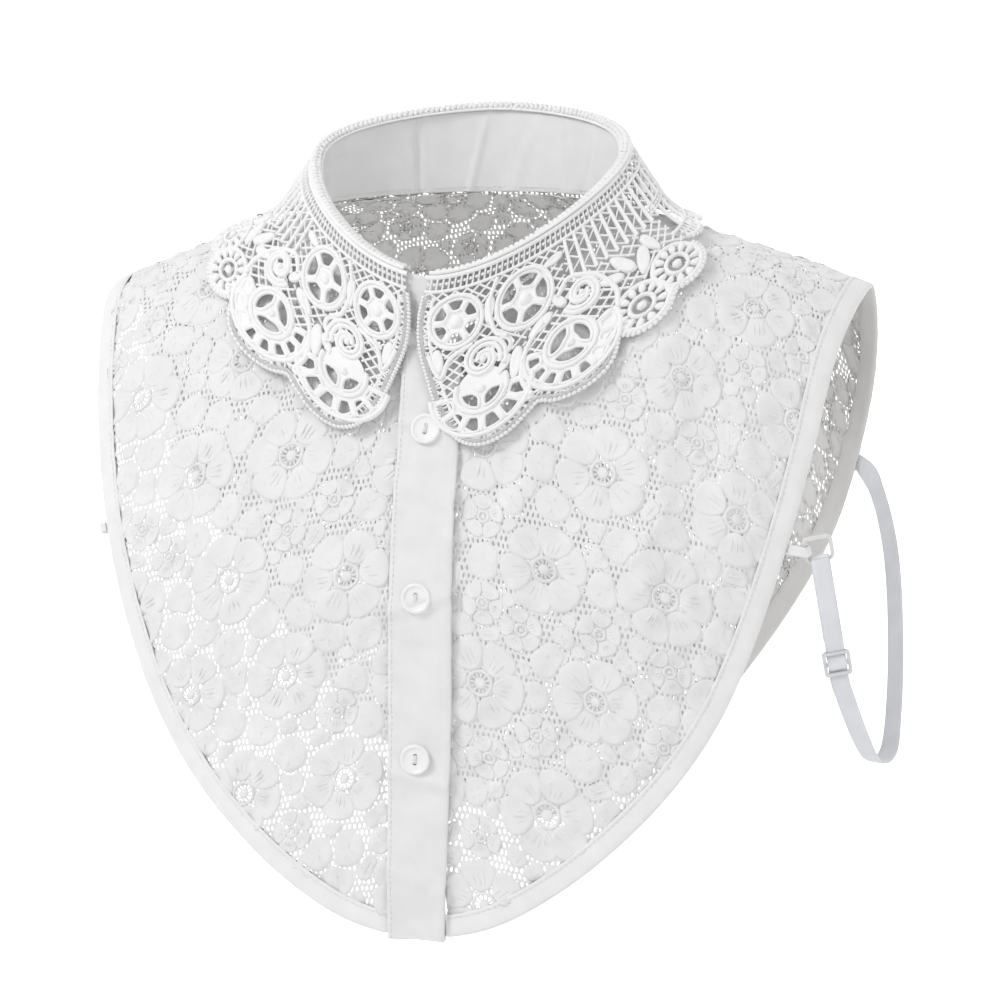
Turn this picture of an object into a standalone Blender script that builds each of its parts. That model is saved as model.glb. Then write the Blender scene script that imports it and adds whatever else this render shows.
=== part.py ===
"""A detachable lace dickey collar in its worn, hollow form, for Blender 4.5.

Metres, +Z up. +X is the wearer's left and the front faces -Y. The origin is the middle of
the neck, level with the seam at its sides, where the wearer's neck and shoulders hold the
garment. Sizes below are in millimetres and become metres where a mesh is made.
"""

import math

import bmesh
import bpy
import numpy as np
from mathutils import Matrix, Vector
from mathutils.geometry import delaunay_2d_cdt

GARMENT = "lace_dickey_collar"
MM = 0.001
GAP = 0.3  # between two pieces at a seam

# Colours of the materials.
LACE = (0.86, 0.86, 0.86)
GUIPURE = (0.88, 0.88, 0.88)
COTTON = (0.83, 0.83, 0.84)
ELASTIC = (0.78, 0.80, 0.82)
PLASTIC = (0.85, 0.85, 0.86)

# Neck seam in plan: half width, and depths before and behind the origin.
NECK_HALF_WIDTH = 69.0
NECK_FRONT = 56.0
NECK_BACK = 50.0
NECK_POINT = 1.18  # over 1 draws the ring to a slight point at the front

# Top edge of the stand: its height at the front, the sides and the back of the neck.
RIM_FRONT_Z, RIM_SIDE_Z, RIM_BACK_Z = -24.0, 26.5, 47.0
RIM_DIP = 3.4  # how far its front quarters hang below a plain tilted ring

# The ridge that the cloth hangs from: over the neck's middle, and at the shoulder tip.
RIDGE_TOP_Z = 19.0
RIDGE_SLOPE = 0.30
RIDGE_SOFT = 20.0  # half width of its round top
TIP_X, TIP_Y, TIP_DROP = 173.0, 29.0, 4.0
FRONT_ROUND, BACK_ROUND = 32.0, 14.0  # how soon the cloth turns down from the ridge
PANEL_WIDEST = 178.0

# The general figure that the cloth hangs on, a row for each height.
FIGURE = (
    # height, chest depth, back depth, half width
    (10, 48, 62, 189),
    (-40, 62, 83, 190),
    (-85, 72, 91, 191),
    (-145, 86, 97, 188),
    (-210, 89, 96, 183),
    (-290, 92, 93, 178),
    (-350, 88, 90, 175),
)
FIGURE_POWER = 2.48  # of the figure's rounded-box section
FIGURE_SHIFT = 5.0  # its middle lies this far behind the origin

# The cut edge of a front and of half the back, from the shoulder tip to the middle.
FRONT_EDGE = (
    # across, height
    (173, -31),
    (165.5, -57),
    (159, -96),
    (150.5, -135),
    (139, -174),
    (124, -210),
    (103, -241),
    (75, -269),
    (47, -289),
    (24, -299),
    (0, -302),
)
BACK_EDGE = (
    # across, height
    (173, -31),
    (171, -68),
    (163, -106),
    (150, -145),
    (129, -183),
    (98, -226),
    (64, -262),
    (32, -284),
    (0, -291),
)

PANEL_WALL = 1.2
PANEL_ROWS, FRONT_COLUMNS, BACK_COLUMNS = 22, 14, 24
BINDING_WIDTH = 10.0
BINDING_WALL = 2.4
SEAM_START = 0.3  # cloth starts this far below the neck seam or the ridge
SEAM_STEPS = 90  # of the neck seam on one cloth
DROP_FURTHEST, DROP_STEPS = 365.0, 240  # of the lines that the cloth's surface is read from

# Plackets down the middle of the front, wearer's right over left.
PLACKET_SEAM = -12.5  # its sewn edge, across
PLACKET_TOP, PLACKET_ROWS = 3.0, 24  # start below the neck seam
UNDER_PLACKET_WALL = 1.4
OVER_PLACKET_WALL = 1.6
OVER_PLACKET_LIFT = 1.9  # of its underside over the panel's inner face
PLACKET_FREE_EDGE = (
    # share of the way down, across
    (0.0, 13.6),
    (0.3, 14.6),
    (0.6, 15.2),
    (0.85, 13.8),
    (1.0, 12.5),
)

# Stand of the collar.
STAND_WALL = 1.4
STAND_FOOT = 1.7  # of its lower edge over the neck seam
STAND_LAP = 12.5  # half the lap of its ends at the front
STAND_LAP_LIFT = 1.9  # of the buttonhole end over the button end
LAP_STARTS, LAP_RISES = math.radians(280), math.radians(55)
STAND_COLUMNS, STAND_ROWS = 48, 3

# Fall of the collar: a heavy lace that hangs from the top of the stand.
FALL_WALL = 1.6
FALL_OUT_FRONT, FALL_OUT = 4.8, 2.2  # of its top edge from the stand's middle
FALL_RISE = 1.2  # of its top edge over the stand
FALL_CLEAR = 5.6  # of its middle over the inner face of the cloth that it lies on
FALL_MEETS = 20.0  # down the cloth from the seam to where it comes to lie
FALL_SOFT = 10.0  # half the length of the bend there
FALL_TURN = 7.0  # the collar sits this far round towards the wearer's right
FALL_MESH, FALL_MESH_CLEAR = 9.0, 3.0  # spacing of its inner points, and from its edges
FALL_DEEPEST = 75.0
FALL_REACH, FALL_FINE = 90.0, 0.5  # length and steps of the lines that it hangs in

# Outline of half the fall by the way round from the centre back and the way down.
FALL_LENGTH = 205.0
FALL_DEPTH = 43.0  # at the back and sides
FALL_SCALLOPS = 8
SCALLOP_DEPTH = 3.0
FALL_FLOWERS = (
    # round, down, radius of the two round flowers on the lower edge
    (112.0, 48.5, 9.6),
    (127.5, 53.5, 9.6),
)
FALL_POINT = (
    # round, down: from the flowers round the collar point and up its front edge
    (136.5, 58),
    (141, 67),
    (149, 70.5),
    (158, 69.5),
    (164, 66.5),
    (168, 69),
    (176, 74),
    (185, 75),
    (193, 70),
    (199.5, 59),
    (204, 45),
    (208, 32),
    (209, 20),
    (207.5, 9),
)

# Gaps over 4 mm that the lace has: ladders of slots, then fans of cells round a middle.
LADDERS = (
    # first slot's middle, pitch, count, from, to, slot width
    (5.2, 4.9, 19, 8, 20.5, 3.3),
    (5.2, 4.9, 19, 24, 36.5, 3.3),
    (107.5, 4.9, 4, 8, 18.5, 3.3),
    (131.0, 4.9, 4, 9, 21, 3.3),
)
FANS = (
    # middle round, down, inner radius, outer radius, from degrees, to degrees, cells
    (184.0, 52.0, 11.5, 18.0, 8, 172, 6),
    (184.0, 52.0, 3.0, 8.0, 0, 180, 2),
    (151.0, 50.0, 10.5, 15.5, -10, 190, 8),
    (151.0, 50.0, 2.8, 7.6, 20, 380, 3),
    (194.0, 21.0, 4.5, 9.5, 0, 360, 6),
    (165.0, 22.0, 4.5, 10.5, 0, 360, 5),
    (175.5, 37.5, 0.0, 3.6, 0, 360, 1),
)
FAN_BAR = 1.6  # between two cells of a fan
FAN_STEP = 4.5  # of the straight pieces that its arcs are made of

# Buttons: down the placket from the neck seam, the first on the stand.
BUTTON_RADIUS, BUTTON_WALL, BUTTON_RIM = 6.5, 2.2, 1.4
BUTTON_DISH = 0.7
BUTTON_HOLE_RADIUS, BUTTON_HOLE_APART = 1.0, 3.4
BUTTON_HEIGHTS = (-88.0, -157.0, -225.0)
STAND_BUTTON_ABOVE = 10.0  # over the neck seam
BUTTON_SEAT = 0.3

# Side straps: a cloth tab, a ring, a doubled elastic with a slider, and its long loop.
STRAP_WIDTH, STRAP_WALL = 8.0, 1.0
TAB_WIDTH, TAB_LENGTH = 4.4, 7.5
TAB_SEAT = 0.45  # of the tab's end from the binding
TAB_BEND = 3.0  # where the tab turns from the binding towards its ring
TAB_PLIES = 0.8  # half the distance of its two plies at the binding
TAB_Z, BACK_END_Z = -134.0, -112.0
RING_HALF_LEVEL, RING_HALF_UPRIGHT, RING_WIRE, RING_CORNER = 5.6, 5.0, 0.9, 2.0
WRAP = RING_WIRE + GAP + STRAP_WALL / 2 + 0.1  # from the wire's middle to the strap's
TAB_WRAP = WRAP + 0.3
SLIDER_BAR, SLIDER_SLOT, SLIDER_WALL, SLIDER_FRAME = 1.5, 3.3, 1.4, 1.5
STRAP_WEAVE = 1.9  # how far the strap swings each side of the slider's bars

# How each strap hangs, in the wearer's left half: the left one bows out from the side and
# the right one hangs close under the arm.
LEFT_WIDTH_WAY = (0.96, 0.27, 0.0)
LEFT_SLIDER = (170.0, -38.0, -185.0)
LEFT_LOOP = (
    # across, depth, height, how upright the strap's width is
    (175.9, -15.0, -218.5, 0.0),
    (179.6, 5.0, -234.5, 0.0),
    (182.3, 26.0, -237.0, 0.0),
    (183.0, 41.0, -229.0, 0.0),
    (182.6, 53.0, -198.0, 0.0),
    (180.0, 60.0, -161.0, 0.1),
    (175.5, 65.5, -138.0, 0.4),
    (169.5, 69.0, -121.0, 0.75),
)
RIGHT_WIDTH_WAY = (0.25, 0.97, 0.0)
RIGHT_SLIDER = (146.0, -24.0, -184.0)
RIGHT_LOOP = (
    # across, depth, height, how upright the strap's width is
    (136.0, -8.0, -217.0, 0.0),
    (129.0, 12.0, -235.0, 0.0),
    (127.0, 33.0, -238.0, 0.0),
    (132.0, 49.0, -226.0, 0.0),
    (144.0, 60.0, -198.0, 0.0),
    (156.0, 67.0, -161.0, 0.1),
    (163.0, 70.0, -138.0, 0.4),
    (167.5, 70.5, -122.0, 0.75),
)


def through(rows, column, at):
    """A smooth curve through a table's column, read at values of its first column."""
    table = np.array(sorted(rows), float)
    key, value = table[:, 0], table[:, column]
    slope = np.gradient(value, key)
    at = np.clip(at, key[0], key[-1])
    i = np.clip(np.searchsorted(key, at) - 1, 0, len(key) - 2)
    step = key[i + 1] - key[i]
    t = (at - key[i]) / step
    near = (2 * t**3 - 3 * t**2 + 1) * value[i] + (t**3 - 2 * t**2 + t) * step * slope[i]
    far = (3 * t**2 - 2 * t**3) * value[i + 1] + (t**3 - t**2) * step * slope[i + 1]
    return near + far


def way_along(points):
    """How far along a polyline each of its points lies."""
    return np.concatenate([[0.0], np.cumsum(np.linalg.norm(np.diff(points, axis=0), axis=1))])


def spaced(points, count):
    """count points at even distances along a polyline."""
    along = way_along(points)
    wanted = np.linspace(0.0, along[-1], count)
    return np.stack([np.interp(wanted, along, column) for column in points.T], -1)


def rounded(points, each=12):
    """A smooth curve through points, each stretch cut into small steps."""
    points = np.array(points, float)
    before = np.concatenate([points[:1], points[:-2]])
    after = np.concatenate([points[2:], points[-1:]])
    curve = []
    for p0, p1, p2, p3 in zip(before, points[:-1], points[1:], after):
        for t in np.arange(each) / each:
            bend = (2 * p0 - 5 * p1 + 4 * p2 - p3) * t**2 + (3 * p1 - p0 - 3 * p2 + p3) * t**3
            curve.append(0.5 * (2 * p1 + (p2 - p0) * t + bend))
    return np.array(curve + [points[-1]])


def round_the_neck(front, side, back, angle):
    """A value that is front, side and back at 0, 90 and 180 degrees round the neck."""
    mean = (front + back) / 4 + side / 2
    return (
        mean
        + (front - back) / 2 * np.cos(angle)
        + ((front + back) / 2 - mean) * np.cos(2 * angle)
    )


def neck_plan(angle):
    """The neck seam seen from above, at an angle from the front towards the wearer's left."""
    sine, cosine = np.sin(angle), np.cos(angle)
    depth = np.where(cosine > 0, NECK_FRONT, NECK_BACK)
    x = NECK_HALF_WIDTH * np.sign(sine) * np.abs(sine) ** NECK_POINT
    y = -depth * np.sign(cosine) * np.abs(cosine) ** NECK_POINT
    return x, y


def rim_height(angle):
    """The height of the stand's top edge."""
    dip = RIM_DIP * (np.cos(angle) - np.cos(3 * angle)) / 2
    return round_the_neck(RIM_FRONT_Z, RIM_SIDE_Z, RIM_BACK_Z, angle) + dip


def ridge(x):
    """The ridge of the shoulders, over the neck too: y and z at x."""
    x = np.abs(x)
    fall = RIDGE_SLOPE * (np.hypot(x, RIDGE_SOFT) - RIDGE_SOFT)
    return TIP_Y * (x / TIP_X) ** 1.5, RIDGE_TOP_Z - fall - TIP_DROP * (x / TIP_X) ** 8


class Cloth:
    """The inner face of the fronts or of the back, by x and by the way down from its top."""

    STEP = 2.0

    def __init__(self, front):
        self.across = np.arange(0.0, PANEL_WIDEST + 1, self.STEP)
        drop = DROP_FURTHEST * np.linspace(0, 1, DROP_STEPS) ** 2
        x, d = np.meshgrid(self.across, drop, indexing="ij")
        start_y, start_z = ridge(x)
        z = start_z - d
        depth = through(FIGURE, 1 if front else 2, z)
        width = through(FIGURE, 3, z)
        section = np.clip(1 - (x / width) ** FIGURE_POWER, 0, 1) ** (1 / FIGURE_POWER)
        figure_y = FIGURE_SHIFT + (-depth if front else depth) * section
        turn = FRONT_ROUND if front else BACK_ROUND
        y = start_y + (figure_y - start_y) * (1 - np.exp(-d / turn)) ** 0.5
        lengths = np.hypot(np.diff(y, axis=1), np.diff(z, axis=1))
        way = np.concatenate([np.zeros((len(x), 1)), np.cumsum(lengths, axis=1)], axis=1)
        self.down = np.arange(0, way[:, -1].min(), self.STEP)
        rows = [
            [(a, np.interp(s, w, b), np.interp(s, w, c)) for s in self.down]
            for a, w, b, c in zip(self.across, way, y, z)
        ]
        self.points = np.array(rows)
        over = np.gradient(self.points, axis=0)
        over[0] *= (1, 0, 0)  # the cloth is level across at its middle
        under = np.gradient(self.points, axis=1)
        normal = np.cross(under, over) if front else np.cross(over, under)
        self.normals = normal / np.linalg.norm(normal, axis=-1, keepdims=True)

    def at(self, x, down, lift=0.0):
        """Points of the cloth, lifted off its inner face."""
        x, down = np.broadcast_arrays(np.asarray(x, float), np.asarray(down, float))
        column = np.interp(np.abs(x), self.across, np.arange(len(self.across)))
        row = np.clip(down / self.STEP, 0, len(self.down) - 1.001)
        i = np.minimum(column.astype(int), len(self.across) - 2)
        j = row.astype(int)
        a, b = (column - i)[..., None], (row - j)[..., None]
        found = []
        for grid in (self.points, self.normals):
            near = grid[i, j] * (1 - a) + grid[i + 1, j] * a
            far = grid[i, j + 1] * (1 - a) + grid[i + 1, j + 1] * a
            found.append(near * (1 - b) + far * b)
        normal = found[1] / np.linalg.norm(found[1], axis=-1, keepdims=True)
        point = found[0] + normal * np.asarray(lift)[..., None]
        point[..., 0] *= np.where(x < 0, -1, 1)
        return point

    def down_to(self, x, z):
        """How far down the cloth the height z lies at x."""
        heights = self.at(np.full(len(self.down), x), self.down)[:, 2]
        return float(np.interp(-z, -heights, self.down))

    def down_at(self, x, y):
        """How far down the cloth the depth y lies at x."""
        line = self.at(np.full(len(self.down), x), self.down)[:, 1]
        reach = np.maximum.accumulate(np.abs(line - line[0]))
        return float(np.interp(abs(y - line[0]), reach, self.down))


def edge_curve(cloth, rows):
    """A cut edge as fine points (x, down)."""
    (x, z) = rows[-2]
    curve = rounded([*rows, (-x, z)])
    curve = curve[curve[:, 0] >= 0]
    down = [cloth.down_to(x, z) for x, z in curve]
    return np.stack([curve[:, 0], np.maximum(down, SEAM_START)], -1)


def inset(cloth, edge, distance):
    """An edge moved into its panel, measured on the cloth."""
    at = cloth.at(edge[:, 0], edge[:, 1])
    over = cloth.at(edge[:, 0] - 1, edge[:, 1]) - at
    under = cloth.at(edge[:, 0], edge[:, 1] + 1) - at
    along = np.gradient(at, axis=0)
    facing = np.cross(over, under)
    inward = np.cross(along, facing)
    middle = cloth.at(0.0, 150.0)
    inward *= np.where(((middle - at) * inward).sum(1) < 0, -1, 1)[:, None]
    inward *= distance / np.linalg.norm(inward, axis=1, keepdims=True)
    moved = []
    for a, b, way in zip(over, under, inward):
        share = np.linalg.lstsq(np.stack([a, b], -1), way, rcond=None)[0]
        moved.append((-share[0], share[1]))
    return edge + np.array(moved)


def over_plan(x, y, fronts, back):
    """The cloth's point over a place in plan."""
    cloth = fronts if y < ridge(x)[0] else back
    return cloth.at(x, cloth.down_at(x, y))


def neck_seam(angle, fronts, back):
    """The neck seam's point on the cloth."""
    x, y = neck_plan(angle)
    return over_plan(float(x), float(y), fronts, back)


class Fall:
    """The middle of the collar's fall, by the angle round the neck and the way down it."""

    STEP = 1.0
    ANGLES = np.radians(np.arange(-24, 205, 2.0))

    def __init__(self, fronts, back):
        self.points = np.array([self.hang(angle, fronts, back) for angle in self.ANGLES])
        over = np.gradient(self.points, axis=0)
        under = np.gradient(self.points, axis=1)
        normal = np.cross(under, over)
        self.normals = normal / np.linalg.norm(normal, axis=-1, keepdims=True)
        self.round = way_along(self.points[:, 0])
        self.round -= np.interp(math.pi, self.ANGLES, self.round)  # 0 at the centre back

    def hang(self, angle, fronts, back):
        """One line down the fall, from the stand's top to the cloth and over it."""
        seam = neck_seam(angle, fronts, back)
        out = np.array([math.sin(angle), -math.cos(angle)])
        reach = np.arange(0.0, 80.0, 1.0)
        heights = [over_plan(*(seam[:2] + r * out), fronts, back)[2] for r in reach]
        body = np.stack([reach, heights], -1)
        along = np.gradient(body, axis=0)
        along /= np.linalg.norm(along, axis=1, keepdims=True)
        over = body + FALL_CLEAR * np.stack([-along[:, 1], along[:, 0]], -1)
        way = way_along(body)
        top_out = round_the_neck(FALL_OUT_FRONT, FALL_OUT, FALL_OUT, angle)
        top = (top_out, rim_height(angle) + FALL_RISE)
        line = np.concatenate([[top], over[way >= FALL_MEETS]])
        line = spaced(line, int(way_along(line)[-1] / FALL_FINE))
        window = int(FALL_SOFT / FALL_FINE)
        ends = np.pad(line, ((window, window), (0, 0)), mode="reflect", reflect_type="odd")
        blur = np.ones(2 * window + 1) / (2 * window + 1)
        soft = np.stack([np.convolve(column, blur, "valid") for column in ends.T], -1)
        lengths = way_along(soft)
        down = np.arange(0, FALL_REACH, self.STEP)
        r, z = (np.interp(down, lengths, column) for column in soft.T)
        return np.stack([seam[0] + r * out[0], seam[1] + r * out[1], z], -1)

    def at(self, around, down, lift=0.0):
        """Points by the way round from the centre back (wearer's left positive) and down."""
        around = np.asarray(around, float)
        side = np.where(around < 0, -1, 1)
        row = np.interp(-np.abs(around), self.round, np.arange(len(self.round)))
        column = np.clip(np.asarray(down, float) / self.STEP, 0, self.points.shape[1] - 1.001)
        i = np.clip(row.astype(int), 0, len(self.round) - 2)
        j = column.astype(int)
        a, b = (row - i)[..., None], (column - j)[..., None]
        found = []
        for grid in (self.points, self.normals):
            near = grid[i, j] * (1 - a) + grid[i + 1, j] * a
            far = grid[i, j + 1] * (1 - a) + grid[i + 1, j + 1] * a
            found.append(near * (1 - b) + far * b)
        point = found[0] + found[1] * np.asarray(lift)[..., None]
        point[..., 0] *= side
        return point


def collection(name, shown):
    made = bpy.data.collections.new(name)
    bpy.context.scene.collection.children.link(made)
    made.hide_render = not shown
    return made


def material(name, colour, roughness):
    made = bpy.data.materials.new(name)
    made.use_nodes = True
    shader = made.node_tree.nodes["Principled BSDF"]
    shader.inputs["Base Color"].default_value = (*colour, 1)
    shader.inputs["Roughness"].default_value = roughness
    shader.inputs["Metallic"].default_value = 0.0
    return made


def add(name, mesh, colour, roughness):
    """An object of the garment with its own material."""
    made = bpy.data.objects.new(name, mesh)
    mesh.materials.append(material(name, colour, roughness))
    bpy.data.collections[GARMENT].objects.link(made)
    return made


def solidify(made, wall):
    shell = made.modifiers.new("Wall", "SOLIDIFY")
    shell.thickness = wall * MM
    shell.offset = 0.0
    shell.use_even_offset = True
    return made


def sheet(name, points, wall, colour, roughness=0.9):
    """A wall round a grid of middle points, points[row, column]."""
    rows, columns = points.shape[:2]
    bm = bmesh.new()
    bmesh.ops.create_grid(bm, x_segments=columns - 1, y_segments=rows - 1, size=1.0)
    for vertex in bm.verts:
        column = round((vertex.co.x + 1) / 2 * (columns - 1))
        row = round((vertex.co.y + 1) / 2 * (rows - 1))
        vertex.co = Vector(points[row, column]) * MM
    bmesh.ops.recalc_face_normals(bm, faces=bm.faces)
    mesh = bpy.data.meshes.new(name)
    bm.to_mesh(mesh)
    bm.free()
    mesh.shade_smooth()
    return solidify(add(name, mesh, colour, roughness), wall)


def patch(top, bottom, left, right):
    """A grid between four edges that share corners: (down, across, 2)."""
    u = np.linspace(0, 1, len(top))[None, :, None]
    v = np.linspace(0, 1, len(left))[:, None, None]
    across = (1 - v) * top[None] + v * bottom[None]
    downwards = (1 - u) * left[:, None] + u * right[:, None]
    corners = (1 - v) * ((1 - u) * top[0] + u * top[-1]) + v * ((1 - u) * bottom[0] + u * bottom[-1])
    return across + downwards - corners


def seam_line(cloth, first, last, fronts, back):
    """Fine points (x, down) of the neck seam between two angles, on one cloth."""
    line = []
    for angle in np.linspace(first, last, SEAM_STEPS):
        x, y = (float(v) for v in neck_plan(angle))
        line.append((x, cloth.down_at(abs(x), y) + SEAM_START))
    return np.array(line)


def side_angle():
    """The angle round the neck at which the seam crosses the ridge."""
    angles = np.radians(np.linspace(70, 130, 600))
    x, y = neck_plan(angles)
    return float(angles[np.abs(y - ridge(x)[0]).argmin()])


def even(cloth, line, count):
    """count points (x, down) evenly spaced along a line as it lies in space."""
    lengths = way_along(cloth.at(line[:, 0], line[:, 1]))
    wanted = np.linspace(0, lengths[-1], count)
    return np.stack([np.interp(wanted, lengths, column) for column in line.T], -1)


def mirrored(points):
    return points * np.array([-1.0, 1.0, 1.0])


def front_panel(name, side, fronts, back):
    """One front of all-over lace, from the placket to the binding."""
    inner = -PLACKET_SEAM + GAP
    edge = inset(fronts, edge_curve(fronts, FRONT_EDGE), BINDING_WIDTH + GAP)
    edge = edge[edge[:, 0] > inner]
    edge[0, 1] = SEAM_START
    neck = seam_line(fronts, 0.0, side_angle(), fronts, back)
    neck = neck[neck[:, 0] > inner]
    start = np.array([inner, np.interp(inner, neck[:, 0], neck[:, 1])])
    top = even(fronts, np.concatenate([[start], neck, [edge[0]]]), FRONT_COLUMNS + 1)
    foot = np.array([inner, edge[-1, 1]])
    edge = even(fronts, np.concatenate([edge, [foot]]), PANEL_ROWS + FRONT_COLUMNS + 1)
    left = np.linspace(start, edge[-1], PANEL_ROWS + 1)
    grid = patch(top, edge[PANEL_ROWS:][::-1], left, edge[: PANEL_ROWS + 1])
    points = fronts.at(grid[..., 0], grid[..., 1], PANEL_WALL / 2)
    return sheet(name, points if side > 0 else mirrored(points), PANEL_WALL, LACE)


def back_panel(fronts, back):
    """The back of all-over lace, in one piece."""
    half = BACK_COLUMNS // 2
    edge = inset(back, edge_curve(back, BACK_EDGE), BINDING_WIDTH + GAP)
    edge = edge[edge[:, 0] >= 0]
    edge[0, 1] = SEAM_START
    edge = np.concatenate([edge, [(0.0, edge[-1, 1])]])
    neck = seam_line(back, math.pi, side_angle(), fronts, back)
    right_top = even(back, np.concatenate([neck, [edge[0]]]), half + 1)
    edge = even(back, edge, PANEL_ROWS + half + 1)
    flip = np.array([-1.0, 1.0])
    top = np.concatenate([right_top[:0:-1] * flip, right_top])
    side = edge[: PANEL_ROWS + 1]
    bottom = np.concatenate([edge[PANEL_ROWS:] * flip, edge[PANEL_ROWS:-1][::-1]])
    grid = patch(top, bottom, side * flip, side)
    return sheet("back_panel", back.at(grid[..., 0], grid[..., 1], PANEL_WALL / 2), PANEL_WALL, LACE)


def binding(name, cloth, rows, first_x, side, count):
    """The folded tape round a cut edge; side 0 makes it run round both halves."""
    edge = edge_curve(cloth, rows)
    edge = edge[edge[:, 0] >= first_x]
    edge = np.concatenate([edge, [(first_x, edge[-1, 1])]])
    edge = even(cloth, edge, count)
    inner = inset(cloth, edge, BINDING_WIDTH)
    inner[0, 1] = edge[0, 1]
    inner[-1, 0] = first_x
    strip = np.stack([cloth.at(*line.T, PANEL_WALL / 2) for line in (edge, inner)], 1)
    if side == 0:
        strip = np.concatenate([strip, mirrored(strip[-2::-1])])
    return sheet(name, strip if side >= 0 else mirrored(strip), BINDING_WALL, COTTON, 0.85)


def placket(name, lift, wall, fronts, back, free_edge):
    """A straight strip of cotton down the middle of the front."""
    x, y = neck_plan(0.0)
    top = fronts.down_at(0.0, float(y)) + PLACKET_TOP
    bottom = fronts.down_to(0.0, FRONT_EDGE[-1][1])
    share = np.linspace(0, 1, PLACKET_ROWS + 1)
    free = free_edge(share)
    across = PLACKET_SEAM + (free - PLACKET_SEAM)[:, None] * np.linspace(0, 1, 4)
    down = np.repeat((top + share * (bottom - top))[:, None], 4, axis=1)
    return sheet(name, fronts.at(across, down, lift + wall / 2), wall, COTTON, 0.85)


def stand_points(turn, share, lift, fronts, back):
    """A place on the stand: turn round the neck from the front, share of the way up."""
    seam = neck_seam(turn % (2 * math.pi), fronts, back)
    foot = seam[2] + STAND_FOOT
    height = foot + share * (rim_height(turn) - foot)
    return seam[0] + lift * math.sin(turn), seam[1] - lift * math.cos(turn), height


def stand_turns():
    """The angles at which the stand's button end starts and its buttonhole end stops."""
    lap = math.asin((STAND_LAP / NECK_HALF_WIDTH) ** (1 / NECK_POINT))
    return -lap, 2 * math.pi + lap


def collar_stand(fronts, back):
    """The cotton band round the neck; its buttonhole end laps over its button end."""
    first, last = stand_turns()
    turns = np.linspace(first, last, STAND_COLUMNS + 1)
    rows = []
    lifts = STAND_LAP_LIFT * np.clip((turns - LAP_STARTS) / LAP_RISES, 0, 1)
    for share in np.linspace(0, 1, STAND_ROWS + 1):
        rows.append([stand_points(t, share, lift, fronts, back) for t, lift in zip(turns, lifts)])
    return sheet("collar_stand", np.array(rows), STAND_WALL, COTTON, 0.85)


def arc(middle, radius, first, last, count):
    """count + 1 points round a middle, angles in degrees, 90 pointing down."""
    turn = np.radians(np.linspace(first, last, count + 1))
    return np.stack([middle[0] + radius * np.cos(turn), middle[1] + radius * np.sin(turn)], -1)


def fall_outline():
    """The closed outline of half the fall, in its flat pattern (round, down)."""
    start = FALL_FLOWERS[0][0] - FALL_FLOWERS[0][2] - 1.0
    pitch = start / FALL_SCALLOPS
    lower = []
    for i in range(FALL_SCALLOPS):
        for share, drop in ((0.0, 0.0), (0.3, 0.85), (0.5, 1.0), (0.7, 0.85)):
            lower.append(((i + share) * pitch, FALL_DEPTH + drop * SCALLOP_DEPTH))
    first, second = FALL_FLOWERS
    flowers = np.concatenate([
        arc(first[:2], first[2], 190, 55, 6),
        arc(second[:2], second[2], 150, 30, 6),
    ])
    top = np.linspace(FALL_LENGTH, 0.0, 24)
    upper = np.stack([top, np.zeros(24)], -1)
    return np.concatenate([np.array(lower), flowers, np.array(FALL_POINT), upper])


def fall_windows():
    """The gaps of half the fall, as closed outlines in its flat pattern."""
    windows = []
    for first, pitch, count, start, end, width in LADDERS:
        for i in range(count):
            middle = first + i * pitch
            left, right = middle - width / 2, middle + width / 2
            windows.append(np.array([(left, start), (right, start), (right, end), (left, end)]))
    for u, t, inner, outer, first, last, cells in FANS:
        if inner == 0:
            windows.append(arc((u, t), outer, 0, 315, 7))
            continue
        step = (last - first) / cells
        for i in range(cells):
            a, b = first + i * step, first + (i + 1) * step
            near, far = (math.degrees(FAN_BAR / 2 / radius) for radius in (inner, outer))
            pieces = max(1, round(math.radians(step) * outer / FAN_STEP))
            outside = arc((u, t), outer, a + far, b - far, pieces)
            within = arc((u, t), inner, b - near, a + near, 1 if inner < FAN_STEP else pieces)
            windows.append(np.concatenate([outside, within]))
    return windows


def inside(points, outline):
    """Which points lie inside a closed outline."""
    x, y = points[:, 0][:, None], points[:, 1][:, None]
    a, b = outline, np.roll(outline, -1, axis=0)
    crosses = (a[:, 1] > y) != (b[:, 1] > y)
    rise = np.where(b[:, 1] == a[:, 1], 1, b[:, 1] - a[:, 1])
    reach = a[:, 0] + (y - a[:, 1]) * (b[:, 0] - a[:, 0]) / rise
    return (crosses & (x < reach)).sum(1) % 2 == 1


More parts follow.
